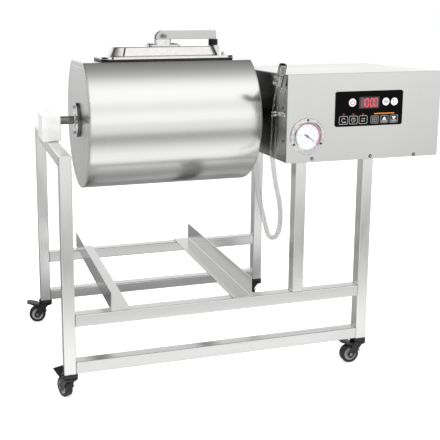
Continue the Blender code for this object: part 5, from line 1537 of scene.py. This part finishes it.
class TUMBLER_OT_hose(bpy.types.Operator):
    """Clear vacuum hose from the port under the housing, through its clip, to the quick coupler"""

    bl_idname = "tumbler.hose"
    bl_label = "Vacuum hose"
    bl_options = {"REGISTER", "UNDO"}

    def execute(self, context):
        steel = context.scene.tumbler_steel
        path = hose_points(5)
        hose = piece("vacuum_hose_tube", hollow_tube(path, HOSE_RADIUS, HOSE_BORE),
                     hose_pvc(context.scene.tumbler_plastics),
                     "frame", stands_for=["vacuum_hose"])
        ahead = (path[-1] - path[-2]).normalized()
        turn = Matrix.Translation(path[-1]) @ ahead.to_track_quat("Z", "X").to_matrix().to_4x4()
        profile = [
            (0, 0.3), (6.3, 0.3), (6.8, 0.8), (6.8, 7), (6.3, 7.5), (6.3, 8.5), (6.8, 9), (6.8, 25.5),
            (7.2, 26.2), (8.3, 27.6), (8.6, 28.6), (8.6, 31), (8.2, 31.4), (8.2, 32.4), (8.6, 32.8),
            (8.6, 46.6), (8.4, 47.6), (7.8, 49.6), (7.2, 50), (5.6, 50), (5.2, 49.6), (4.8, 37), (0, 36),
        ]
        body = turned(profile, 64, turn)
        sideways = turn.to_3x3().inverted() @ Vector((-1, 0, 0))
        fittings = []
        for height, radius in ((22, 3.4), (8.5, 4.25)):
            lay = sideways.to_track_quat("Z", "X").to_matrix().to_4x4()
            head = turned([(0, 0), (radius * 0.62, 0), (radius * 0.62, 9.4), (radius, 10), (radius, 12.9),
                           (radius * 0.8, 13.6), (0, 13.6)], 32)
            bmesh.ops.transform(head, matrix=turn @ Matrix.Translation((0, 0, height)) @ lay,
                                verts=head.verts)
            fittings.append(head)
        coupler = piece("quick_coupler", together(body, *fittings),
                        polished_steel(steel, "coupler", 0.7, 1.2, 0.62), "frame",
                        stands_for=["hose_coupler"])
        length = sum((b - a).length for a, b in zip(path, path[1:]))
        in_row = [MACHINE @ point for point in path]
        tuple(in_row[0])

        low, high = span("hose_port")
        x, y, foot = path[0].x, path[0].y, low.z
        drop = high.z - foot
        barb = [(0, 0), (3.4, 0), (4.2, 0.4), (4.9, 3.2), (4.2, 3.4), (5, 6), (5, drop - 1), (4.5, drop),
                (0, drop)]
        nut = copies(hex_head(17, 5.5), [shift(x, y, foot + 8.4)])
        piece("hose_port_union", together(turned(barb, 40, shift(x, y, foot)), nut),
              polished_steel(steel, "union"), "frame", stands_for=["hose_port"])

        low, high = span("hose_clip")
        clip_point = Vector((HOUSE_LOW.x, HOUSE_LOW.y, HOUSE_LOW.z)) + Vector(HOSE_ROUTE[2])
        z0, z1 = low.z, high.z
        tab = block((high.x - 1.2, low.y, z0), (high.x, clip_point.y + 3, z1), 0.3, 1)
        wires = []
        for z in (z0 + 1.0, z1 - 1.0):
            wires.append(turned([(7.3 + 0.65 * cos(a), z + 0.65 * sin(a)) for a in
                                 [2 * pi * i / 10 for i in range(10)]], 48,
                                 shift(clip_point.x, clip_point.y, 0)))
            wires.append(tube_along([(clip_point.x + 7.2, clip_point.y, z), (high.x - 0.6, clip_point.y, z)],
                                    0.9, 12))
        piece("hose_clip_wire", together(tab, *wires), polished_steel(steel, "clip_wire"), "frame",
              stands_for=["hose_clip"])
        left = Matrix.Rotation(-pi / 2, 4, "Y")
        piece("hose_clip_screw", pan_screws([shift(high.x - 1.2, low.y + 8, (z0 + z1) / 2, left)], 2.8, 1.6),
              zinc_plate("clip_screw"), "frame")
        return {"FINISHED"}


# Casters


def caster_frames():
    """Place of each caster's swivel, turned to its heading."""
    places = {}
    headings = {"front_left": 112, "front_right": 178, "back_left": 172, "back_right": 165}
    for corner in CASTERS:
        low, high = span(f"{corner}_leg")
        places[corner] = shift((low.x + high.x) / 2, (low.y + high.y) / 2, 0, Matrix.Rotation(
            radians(headings[corner]), 4, "Z"))
    return places


TRAIL = 21.0
WHEEL_RADIUS = 21.0
WHEEL_HALF_WIDTH = 8.0


class TUMBLER_OT_casters(bpy.types.Operator):
    """Four swivel casters: seat, lacquered fork, hood, tyre, wheel centre, axle and pedal"""

    bl_idname = "tumbler.casters"
    bl_label = "Casters"
    bl_options = {"REGISTER", "UNDO"}

    def execute(self, context):
        plastics = context.scene.tumbler_plastics
        nylon, rubber = moulded_nylon(plastics), black_rubber(plastics, "moulded_tyre_rubber")
        centre = moulded_nylon(plastics, "moulded_grey_wheel_centre", tuple(plastics.hub), 0.34)
        lacquer = moulded_nylon(plastics, "fork_black_lacquered_steel", None, 0.16)
        trail, wheel, half = TRAIL, WHEEL_RADIUS, WHEEL_HALF_WIDTH
        for corner, place in caster_frames().items():
            seat_low, seat_high = span(f"{corner}_caster_seat")
            top = span(f"{corner}_caster_fork")[1].z
            foot = seat_low.z
            under_leg = span(f"{corner}_leg")[0].z
            dome = [(0, foot), (15.6, foot), (17, foot + 0.9), (17, under_leg - 4.2), (16.6, under_leg - 2.4),
                    (15.4, under_leg - 1.1), (13.6, under_leg - 0.4), (0, under_leg - 0.4)]
            plug = block((-10.7, -10.7, under_leg - 0.5), (10.7, 10.7, seat_high.z), 0.8, 2)
            flat_place = Matrix.Translation(place.translation)
            piece(f"{corner}_caster_dome", together(turned(dome, 64), plug), nylon, "frame",
                  flat_place, [f"{corner}_caster_seat"])

            crown = [(0, top - 3.5), (15.4, top - 3.5), (16.6, top - 3.1), (17, top - 2.3), (17, top - 0.8),
                     (16.4, top), (0, top)]
            outline = [(trail + 8 * cos(a), wheel + 8 * sin(a)) for a in
                       [radians(-135 + (18 + 135) * i / 20) for i in range(21)]]
            outline += [(13.5, top - 3), (11, top - 1.6), (-8, top - 1.6), (-9.5, top - 3.2)]
            cheeks = []
            for side in (-1, 1):
                near, far = sorted((side * 9.0, side * 11.0))
                cheeks.append(slab(outline, -far, -near, TOWARDS_FRONT, 0.4, 2))
            piece(f"{corner}_caster_pressed_fork", together(turned(crown, 64), *cheeks), lacquer,
                  f"{corner}_swivel", place, [f"{corner}_caster_fork"])
            skirt = [(17.0, top - 5.6), (17.0, top - 0.2), (16.0, top + 0.35), (12, top + 0.35),
                     (12, top - 0.4), (15.4, top - 1.0), (15.9, top - 5.6)]
            hood = wheel_hood(trail, wheel, top)
            piece(f"{corner}_caster_hood", together(turned(skirt, 64), hood), nylon, f"{corner}_swivel",
                  place)
            nuts = [shift(trail, side * 11.0, wheel, ALONG_Y if side > 0 else TOWARDS_FRONT)
                    for side in (-1, 1)]
            axle = turned([(0, -10.9), (2.9, -10.9), (2.9, 10.9), (0, 10.9)], 32,
                          shift(trail, 0, wheel, ALONG_Y))
            piece(f"{corner}_caster_axle", together(copies(hex_head(6.6, 1.15), nuts), axle), zinc_plate(
                "axle", "#9A9C9F"), f"{corner}_swivel", place)

            hub = shift(trail, 0, wheel, ALONG_Y)
            tyre = [(wheel - 6.8, half - 0.2), (wheel - 6.0, half), (wheel - 2.6, half),
                    (wheel - 1.3, half - 0.7),
                    (wheel - 0.35, half - 1.7), (wheel - 0.05, half - 3.0), (wheel, 1.2), (wheel - 0.25, 0.7),
                    (wheel - 0.25, 0.2)]
            tyre = tyre + [(r, -y) for r, y in reversed(tyre)]
            piece(f"{corner}_caster_tyre", turned(tyre, 96, hub), rubber, f"{corner}_wheel",
                  place, [f"{corner}_caster_wheel"])
            rim = [(3.4, half), (6.4, half), (6.9, half - 0.5), (7.6, half - 2.0), (11.0, half - 2.0),
                   (11.8, half - 1.4), (12.4, half - 0.6), (13.4, half - 0.4), (wheel - 6.9, half - 0.6)]
            rim = rim + [(r, -y) for r, y in reversed(rim)]
            spokes = []
            for side in (-1, 1):
                for i in range(6):
                    spoke = block((6.6, -0.9, 5.4), (12.2, 0.9, 7.1), 0.3, 1)
                    bmesh.ops.transform(spoke, matrix=Matrix.Rotation(i * pi / 3, 4, "Z") @ Matrix.Scale(
                        side, 4, (0, 0, 1)), verts=spoke.verts)
                    bmesh.ops.transform(spoke, matrix=hub, verts=spoke.verts)
                    spokes.append(spoke)
            piece(f"{corner}_caster_wheel_centre", together(turned(rim, 72, hub), *spokes), centre,
                  f"{corner}_wheel", place)

            piece(f"{corner}_caster_brake_pedal", pedal_shape(top), nylon, f"{corner}_pedal",
                  place, [f"{corner}_caster_pedal"])
        return {"FINISHED"}


def wheel_hood(trail, wheel, top):
    """Thin moulded fender over the fork's front, from the crown down behind the wheel."""
    rings = []
    for i in range(13):
        angle = radians(168 - 74 * i / 12)
        r = wheel + 1.5
        half = 8.4
        x, z = trail + r * cos(angle), wheel + r * sin(angle)
        z = min(z, top - 3.6)
        out = Vector((cos(angle), 0, sin(angle)))
        centre = Vector((x, 0, z))
        rings.append([centre + Vector((0, -half, 0)), centre + Vector((0, half, 0)),
                      centre + out * 1.1 + Vector((0, half, 0)), centre + out * 1.1 + Vector((0, -half, 0))])
    return skin(rings)


def pedal_shape(top):
    """Brake pedal: tongue between the cheeks, a tread that rises to its lip, grip ribs across it."""
    pivot_x, pivot_z = 13.0, top - 3.5 - 2.7
    thick, start = 3.6, 6.0
    outline = [(start, -thick / 2), (start + 11.2, 2.8 - thick / 2), (start + 28, 7),
               (start + 28, 7 + thick / 2), (start + 11.2, 4.2 + thick / 2), (start, thick)]
    place = shift(pivot_x, 0, pivot_z, TOWARDS_FRONT)
    tread = slab(outline, -13, 13, place, 0.7, 2)
    tongue = block((pivot_x - 4, -8.7, pivot_z - 1.8), (pivot_x + 8, 8.7, pivot_z + 1.8), 0.4, 1)
    ribs = []
    for i in range(5):
        x = start + 13.5 + i * 3.0
        z = 4.2 + thick / 2 + (x - start - 11.2) / 16.8 * 2.8
        ribs.append(block((pivot_x + x - 0.6, -11, pivot_z + z - 0.5),
                          (pivot_x + x + 0.6, 11, pivot_z + z + 0.5), 0.3, 1))
    return together(tread, tongue, *ribs)


# Stage


class TUMBLER_OT_stage(bpy.types.Operator):
    """Pale floor, soft lamps, the light all round and the camera of the photograph"""

    bl_idname = "tumbler.stage"
    bl_label = "Stage"
    bl_options = {"REGISTER", "UNDO"}

    def execute(self, context):
        stage = context.scene.tumbler_stage
        context.scene.view_settings.view_transform = "Standard"
        place_camera(context.scene)
        light_world(context.scene, stage)
        lay_floor(stage)
        for name, where, power, width in (
            ("key_lamp", (-1.5, -2.2, 2.5), stage.key, 2.2),
            ("fill_lamp", (2.3, -1.9, 1.7), stage.fill, 2.0),
            ("top_lamp", (0.2, 1.0, 3.0), stage.top, 2.6),
        ):
            lamp = bpy.data.lights.new(name, "AREA")
            lamp.energy = power
            lamp.size = width
            obj = bpy.data.objects.new(name, lamp)
            obj.location = where
            obj.rotation_euler = (Vector((0, 0, 0.4)) - Vector(where)).to_track_quat("-Z", "Y").to_euler()
            obj.visible_glossy = False
            context.scene.collection.objects.link(obj)
        return {"FINISHED"}


def place_camera(scene):
    """Camera fitted to the corners seen in the photograph; its small shift is what the framing needs."""
    focal, yaw, pitch, roll = 738.1, 14.99, 9.35, 0.30
    data = bpy.data.cameras.new("photo_camera")
    data.sensor_width = 36
    data.lens = data.sensor_width * focal / PICTURE
    data.shift_x, data.shift_y = 0.15, -0.18
    data.clip_start, data.clip_end = 0.05, 100
    camera = bpy.data.objects.new("photo_camera", data)
    camera.location = MACHINE @ Vector((-184, -1407, 776))
    camera.rotation_euler = (radians(90 - pitch), radians(roll), radians(-yaw))
    scene.collection.objects.link(camera)
    scene.camera = camera


def light_world(scene, stage):
    """White to the camera, even to matt surfaces; metals see pale walls, a grey ceiling, dark far
    sides and one dark strip to the front left. The levels were fitted to the steel in the photo."""
    world = bpy.data.worlds.new("studio")
    scene.world = world
    world.use_nodes = True
    tree = world.node_tree
    tree.nodes.clear()
    way = add_node(tree, "ShaderNodeTexCoord")
    parts = add_node(tree, "ShaderNodeSeparateXYZ", links={"Vector": way.outputs["Generated"]})
    ahead = add_node(tree, "ShaderNodeMath", {1: -1.0}, {0: parts.outputs["Y"]}, operation="MULTIPLY")
    lift = add_node(tree, "ShaderNodeMath", links={0: parts.outputs["Z"], 1: ahead.outputs["Value"]},
                    operation="ARCTAN2")
    share = add_node(tree, "ShaderNodeMath", {1: 1 / pi}, {0: lift.outputs["Value"]}, operation="MULTIPLY")
    ramp = add_node(tree, "ShaderNodeValToRGB", links={"Fac": share.outputs["Value"]})
    # Share of the half turn from the horizon in front, over the top, to the horizon behind
    stops = ((0.0, 1.22), (0.07, 1.2), (0.116, 1.0), (0.163, 1.1), (0.21, 1.25), (0.3, 1.25), (0.35, 1.12),
             (0.395, 0.88), (0.442, 0.62), (0.488, 0.47), (0.534, 0.36), (0.6, 0.28), (0.66, 0.12),
             (0.79, 0.12), (0.83, 0.75), (0.856, 0.95), (0.9, 0.95), (0.945, 1.12), (1.0, 1.22))
    elements = ramp.color_ramp.elements
    while len(elements) < len(stops):
        elements.new(0.5)
    for element, (spot, level) in zip(elements, stops):
        element.position = spot
        element.color = (level / BRIGHT, level / BRIGHT, level / BRIGHT, 1)
    sideways = add_node(tree, "ShaderNodeMath", links={0: parts.outputs["X"]}, operation="ABSOLUTE")
    slant = add_node(tree, "ShaderNodeMath", links={0: parts.outputs["X"], 1: ahead.outputs["Value"]},
                     operation="DIVIDE")
    strip = add_node(tree, "ShaderNodeMath", {1: -0.27, 2: 0.16}, {0: slant.outputs["Value"]},
                     operation="COMPARE")
    before = add_node(tree, "ShaderNodeMath", {1: 0.0}, {0: ahead.outputs["Value"]}, operation="GREATER_THAN")
    post = add_node(tree, "ShaderNodeMath", links={0: strip.outputs["Value"], 1: before.outputs["Value"]},
                    operation="MULTIPLY")
    turned_away = add_node(tree, "ShaderNodeMapRange", {"From Min": 0.74, "From Max": 0.9, "To Min": 0.0,
                                                       "To Max": 1.0}, {"Value": sideways.outputs["Value"]})
    dark = add_node(tree, "ShaderNodeMath",
                    links={0: turned_away.outputs["Result"], 1: post.outputs["Value"]}, operation="MAXIMUM")
    room = add_node(tree, "ShaderNodeMix", {"B": (0.03, 0.03, 0.03, 1)},
                    {"Factor": dark.outputs["Value"], "A": ramp.outputs["Color"]}, data_type="RGBA")
    path = add_node(tree, "ShaderNodeLightPath")
    mirror = add_node(tree, "ShaderNodeBackground", {"Strength": BRIGHT}, {"Color": room.outputs["Result"]})
    even = add_node(tree, "ShaderNodeBackground", {"Color": (1, 1, 1, 1), "Strength": stage.sky})
    white = add_node(tree, "ShaderNodeBackground", {"Color": (1, 1, 1, 1), "Strength": 1.0})
    seen = add_node(tree, "ShaderNodeMath", links={0: path.outputs["Is Camera Ray"],
                                                   1: path.outputs["Is Transmission Ray"]},
                                                   operation="MAXIMUM")
    first = add_node(tree, "ShaderNodeMixShader", links={0: path.outputs["Is Glossy Ray"], 1: even.outputs[0],
                                                         2: mirror.outputs[0]})
    last = add_node(tree, "ShaderNodeMixShader", links={0: seen.outputs["Value"], 1: first.outputs[0],
                                                        2: white.outputs[0]})
    add_node(tree, "ShaderNodeOutputWorld", links={"Surface": last.outputs[0]})


def lay_floor(stage):
    """Matt pale floor that takes the shadow; metals see it as pale boards with a dull strip."""
    half = 30.0
    bm = bmesh.new()
    bm.faces.new([bm.verts.new(corner) for corner in
                  ((-half, -half, 0), (half, -half, 0), (half, half, 0), (-half, half, 0))])
    mesh = bpy.data.meshes.new("floor")
    bm.to_mesh(mesh)
    bm.free()
    floor = bpy.data.objects.new("floor", mesh)
    floor.location.z = -0.0003
    bpy.context.scene.collection.objects.link(floor)

    mat, tree, shader = surface("pale_matt_floor", tuple(stage.floor), 1.0)
    shader.inputs["Specular IOR Level"].default_value = 0.0
    path = add_node(tree, "ShaderNodeLightPath")
    seen = add_node(tree, "ShaderNodeMath", links={0: path.outputs["Is Camera Ray"],
                                                   1: path.outputs["Is Transmission Ray"]},
                                                   operation="MAXIMUM")
    lift = add_node(tree, "ShaderNodeEmission", {"Strength": 0.5, "Color": (1, 1, 1, 1)})
    bare = add_node(tree, "ShaderNodeEmission", {"Strength": 0.0})
    glow = add_node(tree, "ShaderNodeMixShader", links={0: seen.outputs["Value"], 1: bare.outputs[0],
                                                        2: lift.outputs[0]})
    lit = add_node(tree, "ShaderNodeAddShader", links={0: shader.outputs["BSDF"], 1: glow.outputs[0]})
    spot = add_node(tree, "ShaderNodeTexCoord")
    parts = add_node(tree, "ShaderNodeSeparateXYZ", links={"Vector": spot.outputs["Object"]})
    # Floor positions in metres behind the middle of the object, and how bright metals see them
    bands = ((-8.0, 1.02), (-2.6, 0.95), (-1.8, 0.86), (-1.6, 0.62), (-1.5, 0.52), (-1.1, 0.46),
             (-0.85, 0.66), (-0.65, 0.92),
             (-0.5, 1.1), (-0.39, 1.15), (-0.3, 1.08), (-0.22, 0.88), (-0.15, 0.62), (-0.07, 0.44),
             (0.0, 0.37),
             (0.08, 0.43), (0.16, 0.48), (0.25, 0.41), (0.37, 0.35), (0.52, 0.3), (0.75, 0.33), (1.2, 0.42),
             (2.0, 0.53), (3.7, 0.65), (8.0, 0.7))
    near, far = bands[0][0], bands[-1][0]
    along = add_node(tree, "ShaderNodeMapRange", {"From Min": near, "From Max": far},
                     {"Value": parts.outputs["Y"]})
    ramp = add_node(tree, "ShaderNodeValToRGB", links={"Fac": along.outputs["Result"]})
    elements = ramp.color_ramp.elements
    while len(elements) < len(bands):
        elements.new(0.5)
    for element, (y, level) in zip(elements, bands):
        element.position = (y - near) / (far - near)
        element.color = (level / BRIGHT, level / BRIGHT, level / BRIGHT, 1)
    ahead = add_node(tree, "ShaderNodeMath", {1: -1.0}, {0: parts.outputs["Y"]}, operation="MULTIPLY")
    slant = add_node(tree, "ShaderNodeMath", links={0: parts.outputs["X"], 1: ahead.outputs["Value"]},
                     operation="DIVIDE")
    right = {"From Min": 0.7, "From Max": 1.1, "To Min": BRIGHT, "To Max": 0.85 * BRIGHT}
    duller = add_node(tree, "ShaderNodeMapRange", right, {"Value": slant.outputs["Value"]})
    boards = add_node(tree, "ShaderNodeEmission", links={"Color": ramp.outputs["Color"],
                                                         "Strength": duller.outputs["Result"]})
    whole = add_node(tree, "ShaderNodeMixShader", links={0: path.outputs["Is Glossy Ray"], 1: lit.outputs[0],
                                                         2: boards.outputs[0]})
    output = tree.nodes["Material Output"]
    tree.links.new(whole.outputs[0], output.inputs["Surface"])
    floor.data.materials.append(mat)


OPERATORS = (
    TUMBLER_OT_stage, TUMBLER_OT_hose, TUMBLER_OT_tubes, TUMBLER_OT_tray_slides, TUMBLER_OT_bearing,
    TUMBLER_OT_drum, TUMBLER_OT_lid, TUMBLER_OT_lever, TUMBLER_OT_housing, TUMBLER_OT_panel,
    TUMBLER_OT_gauge, TUMBLER_OT_machinery, TUMBLER_OT_casters,
)


class TUMBLER_PT_sidebar(bpy.types.Panel):
    """Buttons for each piece of the tumbler, in the order they are made"""

    bl_label = "Meat vacuum tumbler"
    bl_idname = "TUMBLER_PT_sidebar"
    bl_space_type = "VIEW_3D"
    bl_region_type = "UI"
    bl_category = "Tumbler"

    def draw(self, context):
        for group in GROUPS:
            box = self.layout.box()
            settings = getattr(context.scene, group)
            for name in settings.bl_rna.properties.keys():
                if name not in ("rna_type", "name"):
                    box.prop(settings, name)
        for operator in OPERATORS:
            self.layout.operator(operator.bl_idname)


def register():
    for group in GROUPS.values():
        bpy.utils.register_class(group)
    for name, group in GROUPS.items():
        setattr(bpy.types.Scene, name, bpy.props.PointerProperty(type=group))
    for kind in OPERATORS + (TUMBLER_PT_sidebar,):
        bpy.utils.register_class(kind)


def unregister():
    for kind in reversed(OPERATORS + (TUMBLER_PT_sidebar,)):
        bpy.utils.unregister_class(kind)
    for name in GROUPS:
        delattr(bpy.types.Scene, name)
    for group in reversed(list(GROUPS.values())):
        bpy.utils.unregister_class(group)


def main():
    register()
    for operator in OPERATORS:
        area, name = operator.bl_idname.split(".")
        getattr(getattr(bpy.ops, area), name)()


if __name__ == "__main__":
    main()
